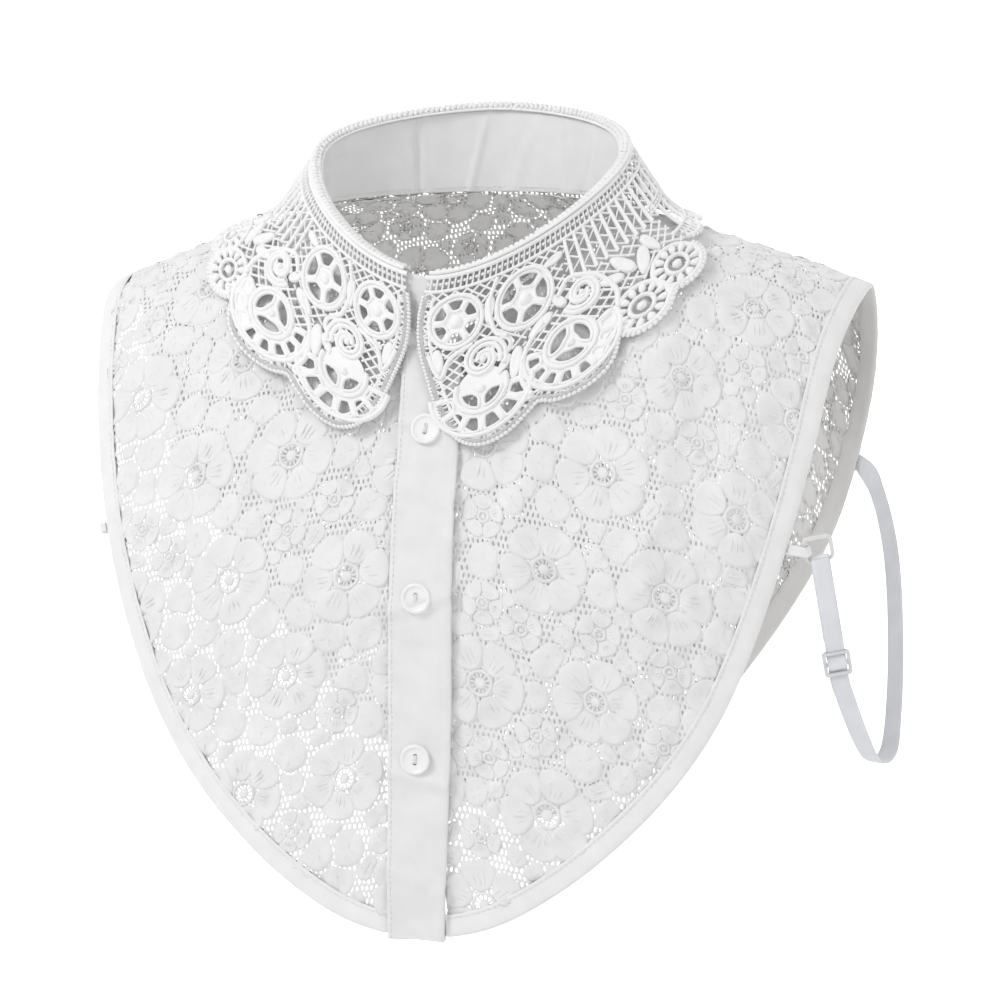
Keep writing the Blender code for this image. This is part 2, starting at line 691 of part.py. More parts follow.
def collar_fall(name, side, fall):
    """Half of the guipure fall: its flat pattern cut with its gaps, then hung."""
    outline, windows = fall_outline(), fall_windows()
    rings = [outline, *windows]
    points, edges = [], []
    for ring in rings:
        count = len(points)
        points += [tuple(p) for p in ring]
        edges += [(count + i, count + (i + 1) % len(ring)) for i in range(len(ring))]
    mesh_u = np.arange(FALL_MESH / 2, FALL_LENGTH, FALL_MESH)
    mesh_t = np.arange(FALL_MESH / 2, FALL_DEEPEST, FALL_MESH)
    spread = np.stack(np.meshgrid(mesh_u, mesh_t), -1).reshape(-1, 2)
    clear = inside(spread, outline)
    for ring in rings:
        clear &= np.linalg.norm(spread[:, None] - ring[None], axis=-1).min(1) >= FALL_MESH_CLEAR
        if ring is not outline:
            clear &= ~inside(spread, ring)
    points += [tuple(p) for p in spread[clear]]
    flat, _, faces, *_ = delaunay_2d_cdt([Vector(p) for p in points], edges, [], 0, 1e-6)
    flat = np.array([tuple(p) for p in flat])
    middles = flat[np.array(faces)].mean(1)
    kept = inside(middles, outline)
    for ring in windows:
        kept &= ~inside(middles, ring)
    around = flat[:, 0] + GAP / 2 + (FALL_TURN if side > 0 else -FALL_TURN)
    hung = fall.at(around, flat[:, 1])
    if side < 0:
        hung = mirrored(hung)
    bm = bmesh.new()
    verts = [bm.verts.new(Vector(p) * MM) for p in hung]
    for face, keep in zip(faces, kept):
        if keep:
            bm.faces.new([verts[i] for i in face])
    bmesh.ops.delete(bm, geom=[v for v in bm.verts if not v.link_faces], context="VERTS")
    bmesh.ops.recalc_face_normals(bm, faces=bm.faces)
    mesh = bpy.data.meshes.new(name)
    bm.to_mesh(mesh)
    bm.free()
    mesh.shade_smooth()
    return solidify(add(name, mesh, GUIPURE, 0.9), FALL_WALL)


def frame(place, across, along):
    """A matrix at a place in millimetres: X across, Y along, Z off the cloth."""
    along = Vector(along).normalized()
    across = Vector(across)
    across = (across - across.dot(along) * along).normalized()
    off = across.cross(along)
    turned = Matrix((across, along, off)).transposed().to_4x4()
    return Matrix.Translation(Vector(place) * MM) @ turned


def mirrored_frame(place):
    """The same frame on the garment's other side."""
    flip = Matrix.Diagonal((-1, 1, 1, 1))
    return flip @ place @ flip


def button_mesh():
    """A turned disc with a rim and a dished middle, face up, its seat at zero."""
    r, top = BUTTON_RADIUS, BUTTON_WALL
    floor, inner = top - BUTTON_DISH, BUTTON_RADIUS - BUTTON_RIM
    profile = (
        (0, 0), (r - 1.0, 0), (r - 0.1, 0.6), (r, top - 0.7), (r - 0.5, top),
        (inner + 0.2, top), (inner - 0.5, floor), (0, floor),
    )
    bm = bmesh.new()
    verts = [bm.verts.new((x * MM, 0, z * MM)) for x, z in profile]
    line = [bm.edges.new(pair) for pair in zip(verts, verts[1:])]
    axis, middle = (0, 0, 1), (0, 0, 0)
    bmesh.ops.spin(bm, geom=verts + line, axis=axis, cent=middle, steps=24, angle=2 * math.pi)
    bmesh.ops.remove_doubles(bm, verts=bm.verts, dist=0.00001)
    bmesh.ops.recalc_face_normals(bm, faces=bm.faces)
    mesh = bpy.data.meshes.new("button")
    bm.to_mesh(mesh)
    bm.free()
    mesh.shade_smooth()
    return mesh


def hole_cutter(name, place):
    """Two round cutters through a button, one above the other."""
    bm = bmesh.new()
    for up in (-1, 1):
        spot = Matrix.Translation((0, up * BUTTON_HOLE_APART / 2 * MM, 0))
        radius = BUTTON_HOLE_RADIUS * MM
        bmesh.ops.create_cone(
            bm, cap_ends=True, segments=10, radius1=radius, radius2=radius,
            depth=4 * BUTTON_WALL * MM, matrix=spot,
        )
    mesh = bpy.data.meshes.new(name)
    bm.to_mesh(mesh)
    bm.free()
    cutter = bpy.data.objects.new(name, mesh)
    cutter.hide_render = True
    cutter.display_type = "WIRE"
    bpy.data.collections["cutters"].objects.link(cutter)
    cutter.matrix_world = place
    return cutter


def button(name, place):
    made = add(name, button_mesh(), PLASTIC, 0.3)
    made.matrix_world = place
    cut = made.modifiers.new("Holes", "BOOLEAN")
    cut.operation = "DIFFERENCE"
    cut.solver = "EXACT"
    cut.object = hole_cutter(f"{name}_holes", place)
    return made


def buttons(fronts, back):
    """One button on the stand and the others down the placket."""
    seam = neck_seam(0.0, fronts, back)
    off = STAND_LAP_LIFT + STAND_WALL / 2 + BUTTON_SEAT
    on_stand = (seam[0], seam[1] - off, seam[2] + STAND_BUTTON_ABOVE)
    button("button_1", frame(on_stand, (1, 0, 0), (0, 0, 1)))
    lift = OVER_PLACKET_LIFT + OVER_PLACKET_WALL + BUTTON_SEAT
    for i, height in enumerate(BUTTON_HEIGHTS):
        down = fronts.down_to(0.0, height)
        place, above = fronts.at(0.0, down, lift), fronts.at(0.0, down - 4, lift)
        button(f"button_{i + 2}", frame(place, (1, 0, 0), above - place))


def edge_frame(cloth, rows, height):
    """A place on a cut edge: its point, the ways out of the cloth, off it and up it."""
    edge = edge_curve(cloth, rows)
    at = cloth.at(edge[:, 0], edge[:, 1], PANEL_WALL / 2)
    i = int(np.abs(at[:, 2] - height).argmin())
    inner = inset(cloth, edge, BINDING_WIDTH)[i]
    out = Vector(at[i] - cloth.at(*inner, PANEL_WALL / 2)).normalized()
    off = Vector(cloth.at(*edge[i], 1.0) - cloth.at(*edge[i], 0.0)).normalized()
    return Vector(at[i]), out, off, Vector(at[i - 1] - at[i + 1]).normalized()


def ribbon(name, middle, across, width, side, colour):
    """A flat strip along middle points, its width pointing across at each of them."""
    middle = np.array([tuple(p) for p in middle])
    along = np.gradient(middle, axis=0)
    along /= np.linalg.norm(along, axis=1, keepdims=True)
    across = np.array([tuple(p) for p in across])
    across = across - (across * along).sum(1, keepdims=True) * along
    across *= width / 2 / np.linalg.norm(across, axis=1, keepdims=True)
    strip = np.stack([middle - across, middle + across], 1)
    return sheet(name, strip if side > 0 else mirrored(strip), STRAP_WALL, colour, 0.8)


def wrapped(middle, radius, out, off, turns):
    """Points round a bar: turns in degrees, 0 along out and 90 along off."""
    angles = [math.radians(turn) for turn in turns]
    return [middle + radius * (math.cos(a) * out + math.sin(a) * off) for a in angles]


def strap_ring(name, place, side):
    """A wire ring with round corners, in the plane of its frame's X and Y."""
    data = bpy.data.curves.new(name, "CURVE")
    data.dimensions = "3D"
    data.bevel_depth = RING_WIRE * MM
    data.bevel_resolution = 1
    level, upright, corner = RING_HALF_LEVEL, RING_HALF_UPRIGHT, RING_CORNER
    spline = data.splines.new("POLY")
    points = []
    for x, y, first in ((1, 1, 0), (-1, 1, 90), (-1, -1, 180), (1, -1, 270)):
        middle = (x * (level - corner), y * (upright - corner))
        points += [tuple(p) for p in arc(middle, corner, first, first + 90, 3)]
    spline.points.add(len(points) - 1)
    for point, (x, y) in zip(spline.points, points):
        point.co = (x * MM, y * MM, 0, 1)
    spline.use_cyclic_u = True
    made = add(name, data, PLASTIC, 0.3)
    made.matrix_world = place if side > 0 else mirrored_frame(place)
    return made


def rectangle(curve, x, y, half_x, half_y, corner):
    """A closed outline with cut corners, added to a 2D curve."""
    spline = curve.splines.new("POLY")
    points = []
    for a, b, swap in ((1, 1, False), (-1, 1, True), (-1, -1, False), (1, -1, True)):
        pair = [(a * half_x, b * (half_y - corner)), (a * (half_x - corner), b * half_y)]
        points += pair[::-1] if swap else pair
    spline.points.add(len(points) - 1)
    for point, (px, py) in zip(spline.points, points):
        point.co = ((x + px) * MM, (y + py) * MM, 0, 1)
    spline.use_cyclic_u = True


def slider_length():
    return 3 * SLIDER_BAR + 2 * SLIDER_SLOT


def strap_slider(name, place, side):
    """A flat slider with two slots, round whose bars the strap is threaded."""
    data = bpy.data.curves.new(name, "CURVE")
    data.dimensions = "2D"
    data.fill_mode = "BOTH"
    data.extrude = SLIDER_WALL / 2 * MM
    half_slot = STRAP_WIDTH / 2 + GAP + 0.1
    rectangle(data, 0, 0, half_slot + SLIDER_FRAME, slider_length() / 2, 1.0)
    middle = (SLIDER_BAR + SLIDER_SLOT) / 2
    for y in (-middle, middle):
        rectangle(data, 0, y, half_slot, SLIDER_SLOT / 2, 0.4)
    made = add(name, data, PLASTIC, 0.3)
    made.matrix_world = place if side > 0 else mirrored_frame(place)
    return made


def strap(word, side, way, slider, loop, fronts, back):
    """A side strap from the front's binding to the back's; side -1 mirrors it."""
    edge, out, off, up = edge_frame(fronts, FRONT_EDGE, TAB_Z)
    slider, level = Vector(slider), Vector(way).normalized()
    centre = edge + level * (TAB_LENGTH + RING_HALF_LEVEL)
    down = (slider - centre).normalized()
    wide = (level - level.dot(down) * down).normalized()
    face = down.cross(wide)
    strap_ring(f"strap_ring_{word}", frame(centre, wide, -down), side)

    near, bar = edge + out * TAB_SEAT, centre - wide * RING_HALF_LEVEL
    bend = edge + out * TAB_BEND
    tab = [near + off * TAB_PLIES, bend + off * 1.5 * TAB_PLIES]
    tab += wrapped(bar, TAB_WRAP, wide, face, (90, 60, 30, 0, -30, -60, -90))
    tab += [bend - off * 1.5 * TAB_PLIES, near - off * TAB_PLIES]
    ways = [up, up - down, *[-down] * 7, up - down, up]
    ribbon(f"strap_tab_{word}", tab, ways, TAB_WIDTH, side, COTTON)

    bar = centre + down * RING_HALF_UPRIGHT
    half = slider_length() / 2
    strap_slider(f"strap_slider_{word}", frame(slider, wide, -down), side)

    inner_end = slider - down * (half + 4.0) - face * WRAP
    middle = [inner_end, bar + down * 8.0 - face * WRAP]
    middle += wrapped(bar, WRAP, -down, face, (-90, -60, -30, 0, 30, 60, 90))
    middle += [bar + down * 8.0 + face * WRAP, slider - down * (half + 4.0) + face * WRAP]
    pitch = SLIDER_BAR + SLIDER_SLOT
    for step, swing in ((-1, -1), (0, 1), (1, -1)):
        for nudge in (-SLIDER_BAR / 2, SLIDER_BAR / 2):
            spot = slider + down * (step * pitch + nudge)
            middle.append(spot + face * (swing * STRAP_WEAVE))
    across = [wide] * len(middle)

    end, back_out, back_off, back_up = edge_frame(back, BACK_EDGE, BACK_END_Z)
    route = [tuple(slider + down * (half + 4.0)) + (0.0,), *loop]
    seat = BINDING_WALL / 2 + GAP + STRAP_WALL / 2
    route.append(tuple(end + back_out * 2.0 + back_off * (seat + 0.4)) + (0.9,))
    route.append(tuple(end - back_out * 6.0 + back_off * (seat + 0.2)) + (0.9,))
    for x, y, z, turned in rounded(route, 3):
        middle.append(Vector((x, y, z)))
        across.append(level * (1 - turned) + Vector((0, 0, turned)))
    across[-4:] = [back_up] * 4
    ribbon(f"strap_elastic_{word}", middle, across, STRAP_WIDTH, side, ELASTIC)


def build():
    for old in list(bpy.data.objects):
        bpy.data.objects.remove(old, do_unlink=True)
    collection(GARMENT, True)
    collection("cutters", False)
    fronts, back = Cloth(True), Cloth(False)
    fall = Fall(fronts, back)
    inner = -PLACKET_SEAM + GAP

    back_panel(fronts, back)
    binding("binding_back", back, BACK_EDGE, 0.0, 0, 34)
    free = PLACKET_FREE_EDGE
    placket("placket_under", 0.0, UNDER_PLACKET_WALL, fronts, back, lambda s: -PLACKET_SEAM + 0 * s)
    placket(
        "placket_over", OVER_PLACKET_LIFT, OVER_PLACKET_WALL, fronts, back,
        lambda share: through(free, 1, share),
    )
    collar_stand(fronts, back)
    buttons(fronts, back)
    for word, side in (("left", 1), ("right", -1)):
        front_panel(f"front_panel_{word}", side, fronts, back)
        binding(f"binding_front_{word}", fronts, FRONT_EDGE, inner, side, 40)
        collar_fall(f"collar_lace_{word}", side, fall)

    strap("left", 1, LEFT_WIDTH_WAY, LEFT_SLIDER, LEFT_LOOP, fronts, back)
    strap("right", -1, RIGHT_WIDTH_WAY, RIGHT_SLIDER, RIGHT_LOOP, fronts, back)

    root = bpy.data.objects.new("garment", None)
    bpy.data.collections[GARMENT].objects.link(root)
    for piece in bpy.data.collections[GARMENT].objects:
        if piece is not root:
            piece.parent = root


build()
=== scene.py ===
"""The looks of a detachable lace dickey collar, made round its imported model.

Lengths in this file are millimetres until a mesh is made. A pattern is drawn flat first,
as points (across, down, raised), and then hung on the cloth's own surfaces.
"""

import math

import bmesh
import bpy
import numpy as np
from mathutils import Matrix, Vector
from mathutils.geometry import delaunay_2d_cdt


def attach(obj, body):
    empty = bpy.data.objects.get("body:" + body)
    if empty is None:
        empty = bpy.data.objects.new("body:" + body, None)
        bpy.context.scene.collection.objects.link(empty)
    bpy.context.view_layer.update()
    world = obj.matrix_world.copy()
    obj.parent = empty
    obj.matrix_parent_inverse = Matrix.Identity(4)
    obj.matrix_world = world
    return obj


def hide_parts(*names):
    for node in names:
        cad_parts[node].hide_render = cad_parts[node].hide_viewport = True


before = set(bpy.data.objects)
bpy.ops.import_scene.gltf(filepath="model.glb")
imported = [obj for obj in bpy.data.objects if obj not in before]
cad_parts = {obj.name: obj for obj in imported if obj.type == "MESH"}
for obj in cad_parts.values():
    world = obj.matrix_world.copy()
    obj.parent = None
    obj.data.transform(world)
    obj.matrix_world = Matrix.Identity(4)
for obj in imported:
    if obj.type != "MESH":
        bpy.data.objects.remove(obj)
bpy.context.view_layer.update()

MM = 0.001
GAP = 0.3  # between two pieces at a seam
RANDOM = np.random.default_rng(7)

# ---------------------------------------------------------------- the garment's own sizes

NECK_HALF_WIDTH, NECK_FRONT, NECK_BACK = 69.0, 56.0, 50.0
NECK_POINT = 1.18
RIM_FRONT_Z, RIM_SIDE_Z, RIM_BACK_Z = -24.0, 26.5, 47.0
RIM_DIP = 3.4
RIDGE_TOP_Z, RIDGE_SLOPE, RIDGE_SOFT = 19.0, 0.30, 20.0
TIP_X, TIP_Y, TIP_DROP = 173.0, 29.0, 4.0
FRONT_ROUND, BACK_ROUND = 32.0, 14.0
PANEL_WIDEST = 178.0
FIGURE = (
    # height, chest depth, back depth, half width
    (10, 48, 62, 189),
    (-40, 62, 83, 190),
    (-85, 72, 91, 191),
    (-145, 86, 97, 188),
    (-210, 89, 96, 183),
    (-290, 92, 93, 178),
    (-350, 88, 90, 175),
)
FIGURE_POWER, FIGURE_SHIFT = 2.48, 5.0
FRONT_EDGE = (
    # across, height
    (173, -31),
    (165.5, -57),
    (159, -96),
    (150.5, -135),
    (139, -174),
    (124, -210),
    (103, -241),
    (75, -269),
    (47, -289),
    (24, -299),
    (0, -302),
)
BACK_EDGE = (
    # across, height
    (173, -31),
    (171, -68),
    (163, -106),
    (150, -145),
    (129, -183),
    (98, -226),
    (64, -262),
    (32, -284),
    (0, -291),
)
PANEL_WALL, BINDING_WIDTH, BINDING_WALL = 1.2, 10.0, 2.4
SEAM_START = 0.3
PLACKET_SEAM, PLACKET_TOP = -12.5, 3.0
UNDER_PLACKET_WALL, OVER_PLACKET_WALL, OVER_PLACKET_LIFT = 1.4, 1.6, 1.9
PLACKET_FREE_EDGE = (
    # share of the way down, across
    (0.0, 13.6),
    (0.3, 14.6),
    (0.6, 15.2),
    (0.85, 13.8),
    (1.0, 12.5),
)
STAND_WALL, STAND_FOOT, STAND_LAP, STAND_LAP_LIFT = 1.4, 1.7, 12.5, 1.9
LAP_STARTS, LAP_RISES = math.radians(280), math.radians(55)
FALL_OUT_FRONT, FALL_OUT, FALL_RISE, FALL_CLEAR = 4.8, 2.2, 1.2, 5.6
FALL_MEETS, FALL_SOFT, FALL_TURN = 20.0, 10.0, 7.0
BUTTON_RADIUS, BUTTON_WALL, BUTTON_RIM, BUTTON_DISH = 6.5, 2.2, 1.4, 0.7
BUTTON_HOLE_RADIUS, BUTTON_HOLE_APART = 0.85, 3.2


# Soft ridges (raised) and troughs (sunk) of the worn cloth: +across is the wearer's left.
FRONT_CREASES = (
    # across, down, to across, to down, half width, raised
    (52, 40, 38, 210, 9, 1.6),
    (72, 60, 60, 190, 8, -1.3),
    (92, 45, 96, 230, 11, 1.8),
    (120, 60, 104, 200, 9, -1.4),
    (142, 30, 128, 175, 8, 1.2),
    (30, 170, 62, 285, 8, 1.3),
    (45, 215, 20, 300, 7, -1.0),
    (84, 200, 112, 120, 7, 0.9),
    (-50, 55, -34, 205, 9, 1.5),
    (-70, 50, -66, 230, 10, -1.4),
    (-94, 70, -84, 190, 8, 1.5),
    (-118, 40, -112, 215, 9, -1.2),
    (-138, 40, -134, 170, 9, 1.3),
    (-36, 190, -70, 275, 8, 1.2),
    (-22, 230, -46, 300, 6, -0.9),
)
BACK_CREASES = (
    # across, down, to across, to down, half width, raised
    (12, 40, 22, 235, 11, 1.6),
    (40, 30, 56, 215, 9, -1.4),
    (74, 40, 84, 200, 10, 1.7),
    (108, 25, 112, 170, 9, -1.3),
    (140, 30, 128, 150, 9, 1.3),
    (-26, 50, -36, 240, 10, -1.4),
    (-52, 30, -62, 210, 9, 1.6),
    (-84, 35, -98, 190, 10, -1.5),
    (-116, 30, -124, 170, 9, 1.4),
    (-146, 40, -134, 140, 8, -1.1),
    (-20, 150, 44, 225, 8, 1.1),
)


# ---------------------------------------------------------------- curves

def through(rows, column, at):
    """A smooth curve through a table's column, read at values of its first column."""
    table = np.array(sorted(rows), float)
    key, value = table[:, 0], table[:, column]
    slope = np.gradient(value, key)
    at = np.clip(at, key[0], key[-1])
    i = np.clip(np.searchsorted(key, at) - 1, 0, len(key) - 2)
    step = key[i + 1] - key[i]
    t = (at - key[i]) / step
    near = (2 * t**3 - 3 * t**2 + 1) * value[i] + (t**3 - 2 * t**2 + t) * step * slope[i]
    far = (3 * t**2 - 2 * t**3) * value[i + 1] + (t**3 - t**2) * step * slope[i + 1]
    return near + far


def way_along(points):
    """How far along a polyline each of its points lies."""
    return np.concatenate([[0.0], np.cumsum(np.linalg.norm(np.diff(points, axis=0), axis=1))])


def spaced(points, count):
    """count points at even distances along a polyline."""
    along = way_along(points)
    wanted = np.linspace(0.0, along[-1], count)
    return np.stack([np.interp(wanted, along, column) for column in np.asarray(points).T], -1)


def rounded(points, each=12):
    """A smooth curve through points, each stretch cut into small steps."""
    points = np.array(points, float)
    before = np.concatenate([points[:1], points[:-2]])
    after = np.concatenate([points[2:], points[-1:]])
    curve = []
    for p0, p1, p2, p3 in zip(before, points[:-1], points[1:], after):
        for t in np.arange(each) / each:
            bend = (2 * p0 - 5 * p1 + 4 * p2 - p3) * t**2 + (3 * p1 - p0 - 3 * p2 + p3) * t**3
            curve.append(0.5 * (2 * p1 + (p2 - p0) * t + bend))
    return np.array(curve + [points[-1]])


def arc(middle, radius, first, last, step=1.6):
    """Points round a middle, from first to last degrees, 90 pointing down; radius may be (a, b)."""
    a, b = radius if isinstance(radius, tuple) else (radius, radius)
    count = max(3, round(abs(math.radians(last - first)) * (a + b) / 2 / step))
    turn = np.radians(np.linspace(first, last, count + 1))
    return np.stack([middle[0] + a * np.cos(turn), middle[1] + b * np.sin(turn)], -1)


def inside(points, outline):
    """Which points lie inside a closed outline."""
    x, y = points[:, 0][:, None], points[:, 1][:, None]
    a, b = outline, np.roll(outline, -1, axis=0)
    crosses = (a[:, 1] > y) != (b[:, 1] > y)
    rise = np.where(b[:, 1] == a[:, 1], 1, b[:, 1] - a[:, 1])
    reach = a[:, 0] + (y - a[:, 1]) * (b[:, 0] - a[:, 0]) / rise
    return (crosses & (x < reach)).sum(1) % 2 == 1


def onto(points, outline):
    """The nearest places on a closed outline."""
    a, b = outline, np.roll(outline, -1, axis=0)
    way = b - a
    share = ((points[:, None] - a) * way).sum(-1) / np.maximum((way**2).sum(-1), 1e-9)
    places = a + np.clip(share, 0, 1)[..., None] * way
    nearest = np.linalg.norm(places - points[:, None], axis=-1).argmin(1)
    return places[np.arange(len(points)), nearest]


# ---------------------------------------------------------------- the cloth's surfaces

def round_the_neck(front, side, back, angle):
    """A value that is front, side and back at 0, 90 and 180 degrees round the neck."""
    mean = (front + back) / 4 + side / 2
    return (
        mean
        + (front - back) / 2 * np.cos(angle)
        + ((front + back) / 2 - mean) * np.cos(2 * angle)
    )


def neck_plan(angle):
    """The neck seam seen from above, at an angle from the front towards the wearer's left."""
    sine, cosine = np.sin(angle), np.cos(angle)
    depth = np.where(cosine > 0, NECK_FRONT, NECK_BACK)
    x = NECK_HALF_WIDTH * np.sign(sine) * np.abs(sine) ** NECK_POINT
    y = -depth * np.sign(cosine) * np.abs(cosine) ** NECK_POINT
    return x, y


def rim_height(angle):
    """The height of the stand's top edge."""
    dip = RIM_DIP * (np.cos(angle) - np.cos(3 * angle)) / 2
    return round_the_neck(RIM_FRONT_Z, RIM_SIDE_Z, RIM_BACK_Z, angle) + dip


def ridge(x):
    """The ridge of the shoulders, over the neck too: y and z at x."""
    x = np.abs(x)
    fall = RIDGE_SLOPE * (np.hypot(x, RIDGE_SOFT) - RIDGE_SOFT)
    return TIP_Y * (x / TIP_X) ** 1.5, RIDGE_TOP_Z - fall - TIP_DROP * (x / TIP_X) ** 8


def creased(rows, spots):
    """How far straight soft creases raise places (across, down) of a cloth."""
    raised = np.zeros(len(spots))
    for x, y, far_x, far_y, width, height in rows:
        way = np.array((far_x - x, far_y - y), float)
        length = np.linalg.norm(way)
        along = (spots - (x, y)) @ way / length**2
        off = (spots - (x, y)) @ (-way[1], way[0]) / length
        fade = np.clip(1 - np.abs(2 * along - 1) ** 3, 0, 1)
        raised += height * fade * np.exp(-((off / width) ** 2))
    return raised


def read_grid(grids, row, column, lift):
    """Points of a surface kept as a grid of places and of normals, lifted off it."""
    rows, columns = grids[0].shape[:2]
    i = np.clip(row.astype(int), 0, rows - 2)
    j = np.clip(column.astype(int), 0, columns - 2)
    a, b = (row - i)[..., None], (column - j)[..., None]
    found = []
    for grid in grids:
        near = grid[i, j] * (1 - a) + grid[i + 1, j] * a
        far = grid[i, j + 1] * (1 - a) + grid[i + 1, j + 1] * a
        found.append(near * (1 - b) + far * b)
    normal = found[1] / np.linalg.norm(found[1], axis=-1, keepdims=True)
    return found[0] + normal * np.asarray(lift, float)[..., None]


class Cloth:
    """The inner face of the fronts or of the back, by x and by the way down from its top."""

    STEP = 2.0
    LEVEL = 150.0  # the way down at which flat widths are measured

    def __init__(self, front):
        self.creases = FRONT_CREASES if front else BACK_CREASES
        self.across = np.arange(0.0, PANEL_WIDEST + 1, self.STEP)
        drop = 365 * np.linspace(0, 1, 240) ** 2
        x, d = np.meshgrid(self.across, drop, indexing="ij")
        start_y, start_z = ridge(x)
        z = start_z - d
        depth = through(FIGURE, 1 if front else 2, z)
        width = through(FIGURE, 3, z)
        section = np.clip(1 - (x / width) ** FIGURE_POWER, 0, 1) ** (1 / FIGURE_POWER)
        figure_y = FIGURE_SHIFT + (-depth if front else depth) * section
        turn = FRONT_ROUND if front else BACK_ROUND
        y = start_y + (figure_y - start_y) * (1 - np.exp(-d / turn)) ** 0.5
        lengths = np.hypot(np.diff(y, axis=1), np.diff(z, axis=1))
        way = np.concatenate([np.zeros((len(x), 1)), np.cumsum(lengths, axis=1)], axis=1)
        self.down = np.arange(0, way[:, -1].min(), self.STEP)
        rows = [
            np.stack([np.full(len(self.down), a), np.interp(self.down, w, b), np.interp(self.down, w, c)], -1)
            for a, w, b, c in zip(self.across, way, y, z)
        ]
        self.points = np.array(rows)
        over = np.gradient(self.points, axis=0)
        over[0] *= (1, 0, 0)
        under = np.gradient(self.points, axis=1)
        normal = np.cross(under, over) if front else np.cross(over, under)
        self.normals = normal / np.linalg.norm(normal, axis=-1, keepdims=True)
        self.widths = way_along(self.points[:, int(self.LEVEL / self.STEP)])

    def at(self, x, down, lift=0.0):
        """Points of the cloth, lifted off its inner face."""
        x, down, lift = np.broadcast_arrays(np.asarray(x, float), np.asarray(down, float), lift)
        column = np.interp(np.abs(x), self.across, np.arange(len(self.across)))
        row = np.clip(down / self.STEP, 0, len(self.down) - 1.001)
        point = read_grid((self.points, self.normals), column, row, lift)
        point[..., 0] *= np.where(x < 0, -1, 1)
        return point

    def width_of(self, x):
        """The flat width from the middle to x."""
        return np.sign(x) * np.interp(np.abs(x), self.across, self.widths)

    def lie(self, x, down, lift):
        """Points of the cloth with its soft creases, lifted off it."""
        x, down, lift = np.broadcast_arrays(np.asarray(x, float), down, lift)
        spots = np.stack([x.ravel(), down.ravel()], -1)
        return self.at(x, down, lift + creased(self.creases, spots).reshape(x.shape))

    def hang(self, flat):
        """Points of a flat pattern (width, down, raised) on the creased cloth."""
        x = np.sign(flat[:, 0]) * np.interp(np.abs(flat[:, 0]), self.widths, self.across)
        return self.lie(x, flat[:, 1], flat[:, 2])

    def down_to(self, x, z):
        """How far down the cloth the height z lies at x."""
        heights = self.at(np.full(len(self.down), x), self.down)[:, 2]
        return float(np.interp(-z, -heights, self.down))

    def down_at(self, x, y):
        """How far down the cloth the depths y lie at places x."""
        x, y = np.atleast_1d(x).astype(float), np.atleast_1d(y).astype(float)
        lines = self.at(x[:, None], self.down[None])[..., 1]
        reach = np.maximum.accumulate(np.abs(lines - lines[:, :1]), axis=1)
        wanted = np.abs(y - lines[:, 0])
        return np.array([np.interp(w, r, self.down) for w, r in zip(wanted, reach)])


fronts, back = Cloth(True), Cloth(False)


def over_plan(x, y):
    """The cloth's points over places in plan."""
    x, y = np.atleast_1d(x).astype(float), np.atleast_1d(y).astype(float)
    found = np.empty((len(x), 3))
    before = y < ridge(x)[0]
    for cloth, these in ((fronts, before), (back, ~before)):
        if these.any():
            found[these] = cloth.at(x[these], cloth.down_at(x[these], y[these]))
    return found


def neck_seam(angle):
    """The neck seam's point on the cloth."""
    x, y = neck_plan(angle)
    return over_plan(float(x), float(y))[0]


class Fall:
    """The middle of the collar's fall, by the way round the neck and the way down it."""

    ANGLES = np.radians(np.arange(-24, 205, 2.0))
    REACH, FINE, STEP = 90.0, 0.5, 1.0

    def __init__(self):
        self.points = np.array([self.line(angle) for angle in self.ANGLES])
        normal = np.cross(np.gradient(self.points, axis=1), np.gradient(self.points, axis=0))
        self.normals = normal / np.linalg.norm(normal, axis=-1, keepdims=True)
        self.round = way_along(self.points[:, 0])
        self.round -= np.interp(math.pi, self.ANGLES, self.round)

    def line(self, angle):
        """One line down the fall, from the stand's top to the cloth and over it."""
        seam = neck_seam(angle)
        out = np.array([math.sin(angle), -math.cos(angle)])
        reach = np.arange(0.0, 80.0, 1.0)
        places = seam[:2] + reach[:, None] * out
        body = np.stack([reach, over_plan(places[:, 0], places[:, 1])[:, 2]], -1)
        along = np.gradient(body, axis=0)
        along /= np.linalg.norm(along, axis=1, keepdims=True)
        over = body + FALL_CLEAR * np.stack([-along[:, 1], along[:, 0]], -1)
        top = (
            round_the_neck(FALL_OUT_FRONT, FALL_OUT, FALL_OUT, angle),
            rim_height(angle) + FALL_RISE,
        )
        line = np.concatenate([[top], over[way_along(body) >= FALL_MEETS]])
        line = spaced(line, int(way_along(line)[-1] / self.FINE))
        window = int(FALL_SOFT / self.FINE)
        ends = np.pad(line, ((window, window), (0, 0)), mode="reflect", reflect_type="odd")
        blur = np.ones(2 * window + 1) / (2 * window + 1)
        soft = np.stack([np.convolve(column, blur, "valid") for column in ends.T], -1)
        down = np.arange(0, self.REACH, self.STEP)
        r, z = (np.interp(down, way_along(soft), column) for column in soft.T)
        return np.stack([seam[0] + r * out[0], seam[1] + r * out[1], z], -1)

    def hang(self, flat, side):
        """Points of half a flat pattern (round from the centre back, down, raised)."""
        around = flat[:, 0] + GAP / 2 + (FALL_TURN if side > 0 else -FALL_TURN)
        row = np.interp(-around, self.round, np.arange(len(self.round)))
        column = np.clip(flat[:, 1] / self.STEP, 0, self.points.shape[1] - 1.001)
        point = read_grid((self.points, self.normals), row, column, flat[:, 2])
        point[:, 0] *= side
        return point


fall = Fall()


def edge_curve(cloth, rows):
    """A cut edge as fine points (x, down)."""
    (x, z) = rows[-2]
    curve = rounded([*rows, (-x, z)])
    curve = curve[curve[:, 0] >= 0]
    down = [cloth.down_to(x, z) for x, z in curve]
    return np.stack([curve[:, 0], np.maximum(down, SEAM_START)], -1)


